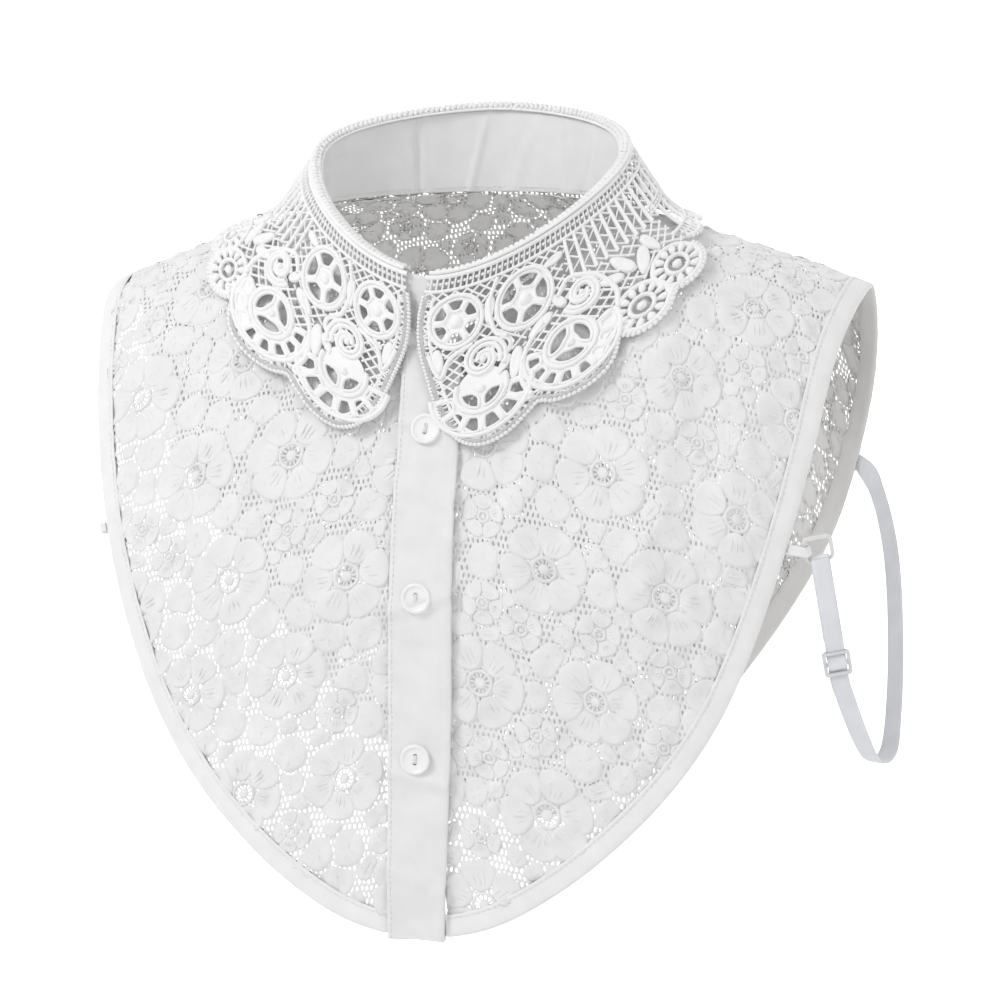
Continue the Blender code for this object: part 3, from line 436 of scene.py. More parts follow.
def inset(cloth, edge, distance):
    """An edge moved into its panel, measured on the cloth."""
    at = cloth.at(edge[:, 0], edge[:, 1])
    over = cloth.at(edge[:, 0] - 1, edge[:, 1]) - at
    under = cloth.at(edge[:, 0], edge[:, 1] + 1) - at
    inward = np.cross(np.gradient(at, axis=0), np.cross(over, under))
    middle = cloth.at(0.0, 150.0)
    inward *= np.where(((middle - at) * inward).sum(1) < 0, -1, 1)[:, None]
    inward *= distance / np.linalg.norm(inward, axis=1, keepdims=True)
    moved = []
    for a, b, way in zip(over, under, inward):
        share = np.linalg.lstsq(np.stack([a, b], -1), way, rcond=None)[0]
        moved.append((-share[0], share[1]))
    return edge + np.array(moved)


def even(cloth, line, count):
    """count points (x, down) evenly spaced along a line as it lies in space."""
    lengths = way_along(cloth.at(line[:, 0], line[:, 1]))
    wanted = np.linspace(0, lengths[-1], count)
    return np.stack([np.interp(wanted, lengths, column) for column in line.T], -1)


def seam_line(cloth, first, last):
    """Fine points (x, down) of the neck seam between two angles, on one cloth."""
    x, y = neck_plan(np.linspace(first, last, 90))
    return np.stack([x, cloth.down_at(np.abs(x), y) + SEAM_START], -1)


def side_angle():
    """The angle round the neck at which the seam crosses the ridge."""
    angles = np.radians(np.linspace(70, 130, 600))
    x, y = neck_plan(angles)
    return float(angles[np.abs(y - ridge(x)[0]).argmin()])


# ---------------------------------------------------------------- shader node groups

def node_group(name, inputs, outputs):
    """An empty shader group with number inputs, and its group nodes."""
    group = bpy.data.node_groups.new(name, "ShaderNodeTree")
    for word, value in inputs:
        socket = group.interface.new_socket(word, in_out="INPUT", socket_type="NodeSocketFloat")
        socket.default_value = value
    for word, kind in outputs:
        group.interface.new_socket(word, in_out="OUTPUT", socket_type=kind)
    return group, group.nodes.new("NodeGroupInput"), group.nodes.new("NodeGroupOutput")


def node(tree, kind, values=None, **settings):
    """A node with its settings, and its inputs set to values or linked to sockets."""
    made = tree.nodes.new(kind)
    for word, value in settings.items():
        setattr(made, word, value)
    for word, value in (values or {}).items():
        if isinstance(value, bpy.types.NodeSocket):
            tree.links.new(value, made.inputs[word])
        else:
            made.inputs[word].default_value = value
    return made


def sums(tree, operation, first, second):
    return node(tree, "ShaderNodeMath", {0: first, 1: second}, operation=operation).outputs[0]


def plain_weave():
    """Crossing threads on the piece's own flat pattern: their height and a fleck mask."""
    group, given, out = node_group(
        "plain_weave",
        (("Threads", 90.0), ("Slub", 0.35)),
        (("Height", "NodeSocketFloat"), ("Fleck", "NodeSocketFloat")),
    )
    uv = node(group, "ShaderNodeUVMap", uv_map="cloth").outputs[0]
    noise = node(group, "ShaderNodeTexNoise", {"Vector": uv, "Scale": 9.0, "Detail": 4.0})
    waves = []
    for direction in ("X", "Y"):
        wave = node(
            group,
            "ShaderNodeTexWave",
            {"Vector": uv, "Scale": given.outputs["Threads"], "Distortion": 1.2, "Detail": 2.0},
            bands_direction=direction,
        )
        waves.append(wave.outputs["Fac"])
    weave = sums(group, "MULTIPLY", waves[0], waves[1])
    slub = sums(group, "MULTIPLY", noise.outputs["Fac"], given.outputs["Slub"])
    group.links.new(sums(group, "ADD", weave, slub), out.inputs["Height"])
    group.links.new(noise.outputs["Fac"], out.inputs["Fleck"])
    return group


def embroidery():
    """Fine satin threads and their uneven lie, by place on the garment."""
    group, given, out = node_group(
        "embroidery",
        (("Threads", 1500.0), ("Grain", 900.0)),
        (("Height", "NodeSocketFloat"), ("Fleck", "NodeSocketFloat")),
    )
    place = node(group, "ShaderNodeTexCoord").outputs["Object"]
    turned = node(group, "ShaderNodeMapping", {"Vector": place, "Rotation": (0.3, 0.7, 0.6)})
    wave = node(
        group,
        "ShaderNodeTexWave",
        {"Vector": turned.outputs[0], "Scale": given.outputs["Threads"], "Distortion": 6.0},
    )
    grain = node(
        group,
        "ShaderNodeTexNoise",
        {"Vector": place, "Scale": given.outputs["Grain"], "Detail": 3.0},
    )
    cloud = node(group, "ShaderNodeTexNoise", {"Vector": place, "Scale": 70.0, "Detail": 3.0})
    group.links.new(sums(group, "ADD", wave.outputs["Fac"], grain.outputs["Fac"]), out.inputs["Height"])
    group.links.new(cloud.outputs["Fac"], out.inputs["Fleck"])
    return group


GROUPS = {"plain_weave": plain_weave(), "embroidery": embroidery()}


def cloth_material(name, light, dark, effect, depth, roughness, sheen, amounts=None):
    """A matt white cloth whose colour and relief come from one shader group."""
    made = bpy.data.materials.new(name)
    made.use_nodes = True
    tree = made.node_tree
    shader = tree.nodes["Principled BSDF"]
    surface = tree.nodes.new("ShaderNodeGroup")
    surface.node_tree = GROUPS[effect]
    for word, value in (amounts or {}).items():
        surface.inputs[word].default_value = value
    ramp = tree.nodes.new("ShaderNodeValToRGB")
    ramp.color_ramp.elements[0].position = 0.3
    ramp.color_ramp.elements[0].color = (*dark, 1)
    ramp.color_ramp.elements[1].position = 0.7
    ramp.color_ramp.elements[1].color = (*light, 1)
    tree.links.new(surface.outputs["Fleck"], ramp.inputs[0])
    tree.links.new(ramp.outputs[0], shader.inputs["Base Color"])
    bump = tree.nodes.new("ShaderNodeBump")
    bump.inputs["Distance"].default_value = depth * MM
    bump.inputs["Strength"].default_value = 0.6
    tree.links.new(surface.outputs["Height"], bump.inputs["Height"])
    tree.links.new(bump.outputs[0], shader.inputs["Normal"])
    shader.inputs["Roughness"].default_value = roughness
    shader.inputs["Sheen Weight"].default_value = sheen
    shader.inputs["Sheen Roughness"].default_value = 0.5
    shader.inputs["Specular IOR Level"].default_value = 0.25
    return made


def plastic_material(name, colour, roughness):
    """Soft white plastic with faint clouding and uneven gloss."""
    made = bpy.data.materials.new(name)
    made.use_nodes = True
    tree = made.node_tree
    shader = tree.nodes["Principled BSDF"]
    place = node(tree, "ShaderNodeTexCoord").outputs["Object"]
    cloud = node(tree, "ShaderNodeTexNoise", {"Vector": place, "Scale": 160.0, "Detail": 2.0})
    ramp = tree.nodes.new("ShaderNodeValToRGB")
    ramp.color_ramp.elements[0].color = (*(c * 0.94 for c in colour), 1)
    ramp.color_ramp.elements[1].color = (*colour, 1)
    tree.links.new(cloud.outputs["Fac"], ramp.inputs[0])
    tree.links.new(ramp.outputs[0], shader.inputs["Base Color"])
    spread = node(
        tree,
        "ShaderNodeMapRange",
        {"Value": cloud.outputs["Fac"], "To Min": roughness - 0.05, "To Max": roughness + 0.08},
    )
    tree.links.new(spread.outputs[0], shader.inputs["Roughness"])
    return made


LACE = cloth_material(
    "panel_lace_thread", (0.84, 0.84, 0.84), (0.79, 0.79, 0.79), "embroidery", 0.05, 0.85, 0.15
)
GUIPURE = cloth_material(
    "guipure_thread", (0.93, 0.93, 0.93), (0.90, 0.90, 0.90), "embroidery", 0.08, 0.75, 0.2,
    {"Threads": 1100.0, "Grain": 1300.0},
)
COTTON = cloth_material(
    "shirting_cotton", (0.83, 0.83, 0.833), (0.78, 0.78, 0.783), "plain_weave", 0.10, 0.85, 0.1
)
BINDING = cloth_material(
    "binding_tape", (0.88, 0.88, 0.88), (0.83, 0.83, 0.83), "plain_weave", 0.08, 0.85, 0.1,
    {"Threads": 120.0},
)
THREAD = cloth_material(
    "sewing_thread", (0.80, 0.80, 0.80), (0.70, 0.70, 0.70), "embroidery", 0.03, 0.6, 0.2
)
ELASTIC = cloth_material(
    "strap_elastic", (0.80, 0.815, 0.84), (0.74, 0.755, 0.78), "plain_weave", 0.12, 0.7, 0.1,
    {"Threads": 60.0, "Slub": 0.15},
)
# A darker, greyer copy of the panel lace for the back: painted shade, standing for the shadow inside the
# back.
BACK_LACE_PAINTED_SHADE = cloth_material(
    "back_lace_painted_shade", (0.76, 0.755, 0.745), (0.71, 0.705, 0.695), "embroidery", 0.05, 0.85, 0.15
)
# A darker copy of the binding tape for the back: painted shade, standing for the shadow inside the back.
BACK_BINDING_PAINTED_SHADE = cloth_material(
    "back_binding_painted_shade", (0.73, 0.722, 0.71), (0.68, 0.672, 0.66), "plain_weave", 0.08, 0.85, 0.1,
    {"Threads": 120.0},
)
BUTTON = plastic_material("button_white", (0.88, 0.88, 0.88), 0.35)
PLASTIC = plastic_material("strap_plastic", (0.74, 0.75, 0.76), 0.30)


# ---------------------------------------------------------------- flat patterns

THIN_CORD = 0.7  # width up to which a cord's section has four corners only
CORD_SECTION = ((-0.5, 0.0), (-0.42, 0.6), (-0.2, 0.93), (0.2, 0.93), (0.42, 0.6), (0.5, 0.0))
THIN_CORD_SECTION = ((-0.5, 0.0), (-0.28, 0.85), (0.28, 0.85), (0.5, 0.0))


class Flat:
    """Shapes in a flat pattern: points (across, down, raised) and faces."""

    def __init__(self):
        self.points, self.faces, self.count = [], [], 0

    def add(self, points, faces):
        self.points.append(np.asarray(points, float))
        self.faces += [tuple(i + self.count for i in face) for face in faces]
        self.count += len(points)

    def grid(self, points, closed_rows=False, closed_columns=False):
        """A grid of points[row, column] joined by four-sided faces."""
        rows, columns = points.shape[:2]
        i, j = np.meshgrid(
            np.arange(rows if closed_rows else rows - 1),
            np.arange(columns if closed_columns else columns - 1),
            indexing="ij",
        )
        i, j = i.ravel(), j.ravel()
        k, m = (i + 1) % rows, (j + 1) % columns
        faces = np.stack([i * columns + j, i * columns + m, k * columns + m, k * columns + j], -1)
        self.add(points.reshape(-1, 3), faces.tolist())

    def cord(self, path, width, height, base=0.0, closed=False, taper=False):
        """A round cord along a flat path, open underneath."""
        path = np.asarray(path, float)
        if closed:
            along = np.roll(path, -1, axis=0) - np.roll(path, 1, axis=0)
        else:
            along = np.gradient(path, axis=0)
        along /= np.maximum(np.linalg.norm(along, axis=1, keepdims=True), 1e-9)
        out = np.stack([-along[:, 1], along[:, 0]], -1)
        size = np.ones(len(path))
        if taper:
            size = np.clip(np.sin(np.linspace(0, math.pi, len(path))) * 1.6, 0.25, 1)
        profile = THIN_CORD_SECTION if width <= THIN_CORD else CORD_SECTION
        rows = []
        for shift, rise in profile:
            place = path + out * (shift * width * size)[:, None]
            rows.append(np.column_stack([place, base + rise * height * size]))
        self.grid(np.array(rows).transpose(1, 0, 2), closed_rows=closed)

    def dome(self, outline, rings):
        """A raised shape: rings of (size, height) from its outline inwards."""
        outline = np.asarray(outline, float)
        middle = outline.mean(0)
        rows = [
            np.column_stack([middle + (outline - middle) * size, np.full(len(outline), height)])
            for size, height in rings
        ]
        start = self.count
        self.grid(np.array(rows), closed_columns=True)
        count = len(outline)
        last = start + (len(rings) - 1) * count
        self.faces.append(tuple(last + i for i in range(count)))

    def bead(self, middle, radius, height, base=0.0):
        """A small round knot."""
        self.dome(
            arc(middle, radius, 0, 360, radius)[:-1],
            ((1.0, base), (0.86, base + 0.6 * height), (0.45, base + height)),
        )

    def all_points(self):
        return np.concatenate(self.points)


def new_object(name, points, faces, flat_places, material):
    """A smooth mesh at its place, with the flat pattern as its UV map."""
    mesh = bpy.data.meshes.new(name)
    mesh.from_pydata((np.asarray(points) * MM).tolist(), [], faces)
    mesh.materials.append(material)
    corner = np.empty(len(mesh.loops), np.int32)
    mesh.loops.foreach_get("vertex_index", corner)
    uv = mesh.uv_layers.new(name="cloth")
    uv.data.foreach_set("uv", (np.asarray(flat_places)[corner][:, :2] / 100.0).astype(np.float32).ravel())
    mesh.shade_smooth()
    made = bpy.data.objects.new(name, mesh)
    bpy.context.scene.collection.objects.link(made)
    return made


def dress(made, nodes=()):
    """Says what a finished piece rides on and stands for."""
    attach(made, "root")
    if nodes:
        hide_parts(*nodes)
    return made


# ---------------------------------------------------------------- geometry nodes

def repeat_tree():
    """Puts one shape on every point, turned and sized by the points' attributes."""
    tree = bpy.data.node_groups.new("repeat_on_points", "GeometryNodeTree")
    tree.interface.new_socket("Geometry", in_out="INPUT", socket_type="NodeSocketGeometry")
    tree.interface.new_socket("Shape", in_out="INPUT", socket_type="NodeSocketObject")
    size = tree.interface.new_socket("Size", in_out="INPUT", socket_type="NodeSocketFloat")
    size.default_value = 1.0
    tree.interface.new_socket("Material", in_out="INPUT", socket_type="NodeSocketMaterial")
    tree.interface.new_socket("Geometry", in_out="OUTPUT", socket_type="NodeSocketGeometry")
    given = tree.nodes.new("NodeGroupInput")
    out = tree.nodes.new("NodeGroupOutput")
    shape = node(tree, "GeometryNodeObjectInfo", {"Object": given.outputs["Shape"]})
    turn = node(tree, "GeometryNodeInputNamedAttribute", {"Name": "turn"}, data_type="FLOAT_VECTOR")
    grow = node(tree, "GeometryNodeInputNamedAttribute", {"Name": "grow"}, data_type="FLOAT_VECTOR")
    scale = node(
        tree,
        "ShaderNodeVectorMath",
        {0: grow.outputs["Attribute"], "Scale": given.outputs["Size"]},
        operation="SCALE",
    )
    placed = node(
        tree,
        "GeometryNodeInstanceOnPoints",
        {
            "Points": given.outputs["Geometry"],
            "Instance": shape.outputs["Geometry"],
            "Rotation": turn.outputs["Attribute"],
            "Scale": scale.outputs[0],
        },
    )
    real = node(tree, "GeometryNodeRealizeInstances", {"Geometry": placed.outputs[0]})
    painted = node(
        tree,
        "GeometryNodeSetMaterial",
        {"Geometry": real.outputs[0], "Material": given.outputs["Material"]},
    )
    tree.links.new(painted.outputs[0], out.inputs[0])
    return tree


REPEAT = repeat_tree()


def repeated(name, shape, places, turns, grows, material, size=1.0):
    """A plain mesh of one shape repeated on places, made by geometry nodes."""
    guide = bpy.data.meshes.new(name)
    guide.from_pydata(np.asarray(places).tolist(), [], [])
    for word, values in (("turn", turns), ("grow", grows)):
        layer = guide.attributes.new(word, "FLOAT_VECTOR", "POINT")
        layer.data.foreach_set("vector", np.asarray(values, np.float32).ravel())
    made = bpy.data.objects.new(name, guide)
    bpy.context.scene.collection.objects.link(made)
    modifier = made.modifiers.new("Repeat", "NODES")
    modifier.node_group = REPEAT
    for socket in REPEAT.interface.items_tree:
        value = {"Shape": shape, "Size": size, "Material": material}.get(socket.name)
        if value is not None:
            modifier[socket.identifier] = value
    bpy.context.view_layer.update()
    graph = bpy.context.evaluated_depsgraph_get()
    mesh = bpy.data.meshes.new_from_object(made.evaluated_get(graph))
    made.modifiers.clear()
    made.data = mesh
    return made


def helper(name, points, faces):
    """A shape that only serves to be repeated."""
    mesh = bpy.data.meshes.new(name)
    mesh.from_pydata([tuple(p) for p in points], [], faces)
    made = bpy.data.objects.new(name, mesh)
    bpy.context.scene.collection.objects.link(made)
    return made


def mesh_arrays(made):
    """The points and faces of a mesh object, which is then removed."""
    points = np.empty(len(made.data.vertices) * 3, np.float32)
    made.data.vertices.foreach_get("co", points)
    faces = [tuple(polygon.vertices) for polygon in made.data.polygons]
    bpy.data.objects.remove(made, do_unlink=True)
    return points.reshape(-1, 3).astype(float), faces


# ---------------------------------------------------------------- all-over lace of the panels

NET_PITCH, NET_ROW = 2.2, 3.0
NET_LIFT, NET_RIDGE = 0.45, 0.2
NET_HOLE = (0.42, 0.56)
NET_UNDER = 1.2  # how far the net runs on under a motif's edge
PETAL = ((1.0, 0.4), (0.95, 0.88), (0.82, 0.9), (0.45, 0.72))
LEAF = ((1.0, 0.35), (0.94, 0.8), (0.78, 0.85), (0.35, 0.8))
COCKLES = (
    # of lace that has been washed and worn: apart, apart the other way, raised
    (19.0, 27.0, 0.55),
    (11.0, 8.5, 0.28),
    (33.0, 14.0, 0.5),
    (6.2, 7.4, 0.13),
)
BINDING_COVERS = 3.0  # how far the lace runs under the binding
CHANNEL = 1.4  # of net, left between two motifs
FLOWER_ROWS, FLOWER_APART = 47.0, 54.0


def net_cell():
    """One open six-sided cell of the net."""
    corners = np.array([
        (0, -2 * NET_ROW / 3), (NET_PITCH / 2, -NET_ROW / 3), (NET_PITCH / 2, NET_ROW / 3),
        (0, 2 * NET_ROW / 3), (-NET_PITCH / 2, NET_ROW / 3), (-NET_PITCH / 2, -NET_ROW / 3),
    ])
    outer = np.column_stack([corners, np.full(6, NET_RIDGE)])
    inner = np.column_stack([corners * NET_HOLE, np.zeros(6)])
    faces = [(i, (i + 1) % 6, 6 + (i + 1) % 6, 6 + i) for i in range(6)]
    return helper("net_cell", np.concatenate([outer, inner]), faces)


def polar(middle, radius, turn):
    """A place at a distance and a turn in degrees from a middle."""
    turn = math.radians(turn)
    return np.array((middle[0] + radius * math.cos(turn), middle[1] + radius * math.sin(turn)))


def egg(middle, length, width, turn, count=18, swell=0.3):
    """A closed petal outline, its wide end pointing along turn, in degrees."""
    phase = np.radians(np.arange(count) * 360 / count)
    along = length / 2 * np.cos(phase)
    across = width / 2 * (1 + swell * np.cos(phase)) * np.sin(phase)
    turn = math.radians(turn)
    return np.stack([
        middle[0] + along * math.cos(turn) - across * math.sin(turn),
        middle[1] + along * math.sin(turn) + across * math.cos(turn),
    ], -1)


class Room:
    """Which places of a flat pattern are still free, on a fine grid."""

    STEP = 0.6

    def __init__(self, outline):
        self.low = outline.min(0) - 4
        across, down = (np.arange(a, b + 4, self.STEP) for a, b in zip(self.low, outline.max(0)))
        self.size = (len(across), len(down))
        x, y = np.meshgrid(across, down, indexing="ij")
        self.spots = np.stack([x.ravel(), y.ravel()], -1)
        self.free = inside(self.spots, outline)
        self.shapes = []

    def take(self, shape):
        """Marks a shape and a channel round it as used."""
        self.shapes.append(shape)
        middle = shape.mean(0)
        out = shape - middle
        reach = np.linalg.norm(out, axis=1, keepdims=True)
        wide = middle + out * (1 + CHANNEL / np.maximum(reach, 0.5))
        near = ((self.spots > wide.min(0)) & (self.spots < wide.max(0))).all(1) & self.free
        self.free[np.flatnonzero(near)[inside(self.spots[near], wide)]] = False

    def is_free(self, places):
        index = np.round((places - self.low) / self.STEP).astype(int)
        within = ((index >= 0) & (index < self.size)).all(-1)
        index = np.clip(index, 0, np.array(self.size) - 1)
        return within & self.free.reshape(self.size)[index[..., 0], index[..., 1]]

    def blob(self, spot, least, most):
        """The free shape round a spot, or None where there is too little room."""
        turns = np.radians(np.arange(0, 360, 15))
        reach = np.arange(self.STEP, most, self.STEP)
        way = np.stack([np.cos(turns), np.sin(turns)], -1)
        clear = self.is_free(spot + way[:, None] * reach[:, None])
        radius = np.where(clear.all(1), most, reach[np.argmin(clear, axis=1)])
        if radius.min() < least:
            return None
        radius = np.minimum(radius, 2.1 * radius.min())
        for _ in range(2):
            radius = (np.roll(radius, 1) + 2 * radius + np.roll(radius, -1)) / 4
        return spot + way * radius[:, None]


def flower(lace, room, middle, radius, petals, turn):
    """A flower of raised petals round an open ring with bars."""
    ring, disc = 0.26 * radius, 0.14 * radius
    for i in range(petals):
        way = turn + 360 * i / petals + RANDOM.uniform(-3, 3)
        centre = polar(middle, 0.5 * (ring + radius) + 0.3, way)
        width = 2 * math.pi * 0.66 * radius / petals * 1.16
        petal = egg(centre, radius - ring - 0.2, width, way, 20)
        lift = 0.22 * (i % 2)
        lace.dome(petal, [(size, height + lift) for size, height in PETAL])
        room.take(petal)
        for spread in (-0.32, 0.0, 0.32):
            foot = polar(middle, ring + 0.8, way + math.degrees(spread * width / radius))
            lean = math.degrees(0.7 * spread * width / radius)
            tip = polar(middle, ring + 0.46 * radius, way + lean)
            lace.cord(np.linspace(foot, tip, 4), 0.7, 0.3, 0.7 + lift, taper=True)
    room.take(arc(middle, ring + 0.5, 0, 360)[:-1])
    lace.cord(arc(middle, ring, 0, 360)[:-1], 1.5, 1.0, 0.3, closed=True)
    lace.bead(middle, disc, 0.7, 0.4)
    bars = 12 if radius > 15 else 8
    for i in range(bars):
        way = turn + 360 * i / bars
        bar = np.linspace(polar(middle, disc - 0.2, way), polar(middle, ring - 0.4, way), 3)
        lace.cord(bar, 0.8, 0.5, 0.4)


def filling(lace, room, shape):
    """A solid leaf or petal that fills a gap, with a raised rim and a vein or a ring."""
    lace.dome(shape, LEAF)
    room.take(shape)
    middle = shape.mean(0)
    spread = np.linalg.svd(shape - middle, full_matrices=False)[2]
    reach = np.abs((shape - middle) @ spread.T).max(0)
    if reach[0] > 1.35 * reach[1]:
        vein = middle + np.linspace(-0.66, 0.66, 6)[:, None] * reach[0] * spread[0]
        lace.cord(vein, 0.9, 0.35, 0.75, taper=True)
        for share in (-0.4, -0.05, 0.3):
            for side in (-1, 1):
                foot = middle + share * reach[0] * spread[0]
                tip = foot + 0.3 * reach[0] * spread[0] + side * 0.55 * reach[1] * spread[1]
                lace.cord(np.linspace(foot, tip, 3), 0.6, 0.3, 0.75, taper=True)
    elif reach[1] > 3.6:
        start = RANDOM.uniform(0, 90)
        for turn in start + np.array((0.0, 70.0, 160.0, 250.0)):
            root, tip = polar(middle, 0.15 * reach[1], turn), polar(middle, 0.62 * reach[1], turn + 12)
            vein = np.linspace(root, tip, 4)
            lace.cord(vein, 0.7, 0.3, 0.7, taper=True)


def motifs(lace, outline):
    """Flowers on a loose lattice, smaller ones between, then fillings for what is left."""
    room = Room(outline)
    low, high = outline.min(0) - 14, outline.max(0) + 14
    placed = []
    for row, y in enumerate(np.arange(low[1] + 14, high[1], FLOWER_ROWS)):
        for x in np.arange(low[0] + (FLOWER_APART / 2 if row % 2 else 0), high[0], FLOWER_APART):
            placed.append((np.array((x, y)) + RANDOM.uniform(-5, 5, 2), RANDOM.uniform(17.5, 20.5)))
    for size, tries in ((12.5, 700), (9.0, 1500)):
        for spot in RANDOM.uniform(low, high, (tries, 2)):
            if all(np.linalg.norm(spot - other) > size + taken + 0.6 for other, taken in placed):
                placed.append((spot, size))
    for spot, size in placed:
        if inside(arc(spot, size, 0, 360, 3), outline).any():
            flower(lace, room, spot, size, 6 if size > 15 else 5, RANDOM.uniform(0, 360))
    for least, most, tries in ((3.4, 8.0, 1500), (2.2, 6.5, 4000), (1.3, 5.0, 9000)):
        spots = RANDOM.uniform(low, high, (tries, 2))
        for spot in spots[room.is_free(spots)]:
            shape = room.blob(spot, least, most) if room.is_free(spot) else None
            if shape is not None:
                filling(lace, room, shape)
    return room.shapes


def net(lace, outline, shapes):
    """Net of six-sided cells over what the motifs leave open."""
    low, high = outline.min(0), outline.max(0)
    rows = np.arange(low[1], high[1], NET_ROW)
    columns = np.arange(low[0], high[0], NET_PITCH)
    x, y = np.meshgrid(columns, rows)
    x = x + (np.arange(len(rows)) % 2)[:, None] * NET_PITCH / 2
    spots = np.stack([x.ravel(), y.ravel()], -1)
    open_ = inside(spots, outline)
    for shape in shapes:
        middle = shape.mean(0)
        reach = np.linalg.norm(shape - middle, axis=1).min()
        core = middle + (shape - middle) * max(1 - NET_UNDER / reach, 0.3)
        box = ((spots > core.min(0)) & (spots < core.max(0))).all(1) & open_
        open_[np.flatnonzero(box)[inside(spots[box], core)]] = False
    spots = spots[open_]
    places = np.column_stack([spots, np.full(len(spots), NET_LIFT)])
    grown = np.ones((len(spots), 3))
    cell = net_cell()
    made = repeated("net", cell, places, np.zeros((len(spots), 3)), grown, LACE)
    points, faces = mesh_arrays(made)
    bpy.data.objects.remove(cell, do_unlink=True)
    points[:, :2] += 0.16 * np.sin(points[:, 1::-1] * 1.1) + 0.12 * np.sin(points[:, :2] * 0.43)
    lace.add(points, faces)


def cockled(flat):
    """How far worn lace stands up or down at a flat place."""
    raised = 0.0
    for i, (apart, aside, height) in enumerate(COCKLES, 1):
        along = flat[:, 1] + 7.0 * np.sin(flat[:, 0] / (13.0 + i))
        across = flat[:, 0] + 5.0 * np.sin(flat[:, 1] / (17.0 - i))
        wave = np.sin(2 * math.pi * along / apart + 1.7 * i)
        wave = wave * np.sin(2 * math.pi * across / aside + 0.6 * i)
        raised = raised + height * wave
    return raised


CUT_STEP = 2.0  # of the grid that a cut is measured with


def cut_size(hang, outline, windows=()):
    """A cut's widest arc and length, and its area without its windows, on its own surface."""
    low, high = outline.min(0), outline.max(0)
    lines = [np.arange(low[i], high[i] + CUT_STEP, CUT_STEP) for i in (0, 1)]
    flat = np.stack(np.meshgrid(*lines, indexing="ij"), -1)
    spots = flat.reshape(-1, 2)
    points = hang(np.column_stack([spots, np.zeros(len(spots))])).reshape(*flat.shape[:2], 3)
    over = points[1:, :-1] - points[:-1, :-1]
    under = points[:-1, 1:] - points[:-1, :-1]
    middles = (flat[:-1, :-1] + CUT_STEP / 2).reshape(-1, 2)
    cloth = inside(middles, outline)
    for window in windows:
        cloth &= ~inside(middles, window)
    cloth = cloth.reshape(over.shape[:2])
    widest = (np.linalg.norm(over, axis=-1) * cloth).sum(0).max()
    area = (np.linalg.norm(np.cross(over, under), axis=-1) * cloth).sum()
    flat_size = (round(float(widest) * MM, 3), round(float(high[1] - low[1]) * MM, 3))
    return flat_size, round(float(area) * MM**2, 5)


def lace_panel(name, cloth, outline, material=LACE):
    """A panel of all-over lace inside an outline (flat width, down): its motifs and its net."""
    worked, ground = Flat(), Flat()
    net(ground, outline, motifs(worked, outline))
    pieces = []
    for word, lace in (("lace", worked), ("net", ground)):
        flat = lace.all_points()
        out = ~inside(flat, outline)
        flat[out, :2] = onto(flat[out, :2], outline)
        flat[:, 2] += cockled(flat)
        pieces.append(new_object(f"{name}_{word}", cloth.hang(flat), lace.faces, flat, material))
    cut, area = cut_size(cloth.hang, outline)
    dress(pieces[1])
    dress(pieces[0], (name,))


def front_outline(side):
    """Where a front's lace runs, as its own flat outline."""
    inner = -PLACKET_SEAM + GAP
    edge = inset(fronts, edge_curve(fronts, FRONT_EDGE), BINDING_WIDTH - BINDING_COVERS)
    edge = edge[edge[:, 0] > inner]
    edge[0, 1] = SEAM_START
    neck = seam_line(fronts, 0.0, side_angle())
    neck = neck[neck[:, 0] > inner]
    start = (inner, np.interp(inner, neck[:, 0], neck[:, 1]))
    line = np.concatenate([[start], neck, even(fronts, edge, 70), [(inner, edge[-1, 1])]])
    return np.stack([fronts.width_of(line[:, 0]) * side, line[:, 1]], -1)


def back_outline():
    """Where the back's lace runs, as its own flat outline."""
    edge = inset(back, edge_curve(back, BACK_EDGE), BINDING_WIDTH - BINDING_COVERS)
    edge = edge[edge[:, 0] >= 0]
    edge[0, 1] = SEAM_START
    neck = seam_line(back, math.pi, side_angle())
    half = np.concatenate([neck, even(back, edge, 70)])
    line = np.concatenate([half, half[::-1] * (-1, 1)])
    return np.stack([back.width_of(line[:, 0]), line[:, 1]], -1)


SHOULDER_SEAM = 1.1  # radius of the rolled seam along the shoulders


def shoulder_seam(name, side):
    """The rolled and oversewn seam that joins a front to the back."""
    across = np.linspace(float(neck_plan(side_angle())[0]) + 0.5, TIP_X - 1.0, 150)
    spine = fronts.at(across, SEAM_START, PANEL_WALL / 2)
    spine = (spine + back.at(across, SEAM_START, PANEL_WALL / 2)) / 2
    spine[:, 2] -= 0.4
    along = np.gradient(spine, axis=0)
    along /= np.linalg.norm(along, axis=1, keepdims=True)
    over = np.cross(along, (0, 0, 1.0))
    over /= np.linalg.norm(over, axis=1, keepdims=True)
    up = np.cross(over, along)
    turns = np.radians(np.arange(0, 360, 36))
    way = way_along(spine)
    size = SHOULDER_SEAM * (1 + 0.07 * np.sin(way * 2.9) + 0.05 * np.sin(way * 1.3))
    rings = spine[:, None] + size[:, None, None] * (
        1.5 * np.cos(turns)[None, :, None] * over[:, None] + np.sin(turns)[None, :, None] * up[:, None]
    )
    rings[..., 0] *= side
    flat = np.stack(np.broadcast_arrays(way[:, None], turns[None], 0.0), -1)
    shape = Flat()
    shape.grid(flat, closed_columns=True)
    made = new_object(name, rings.reshape(-1, 3), shape.faces, flat.reshape(-1, 3), LACE)
    return dress(made)


# ---------------------------------------------------------------- tapes and bands

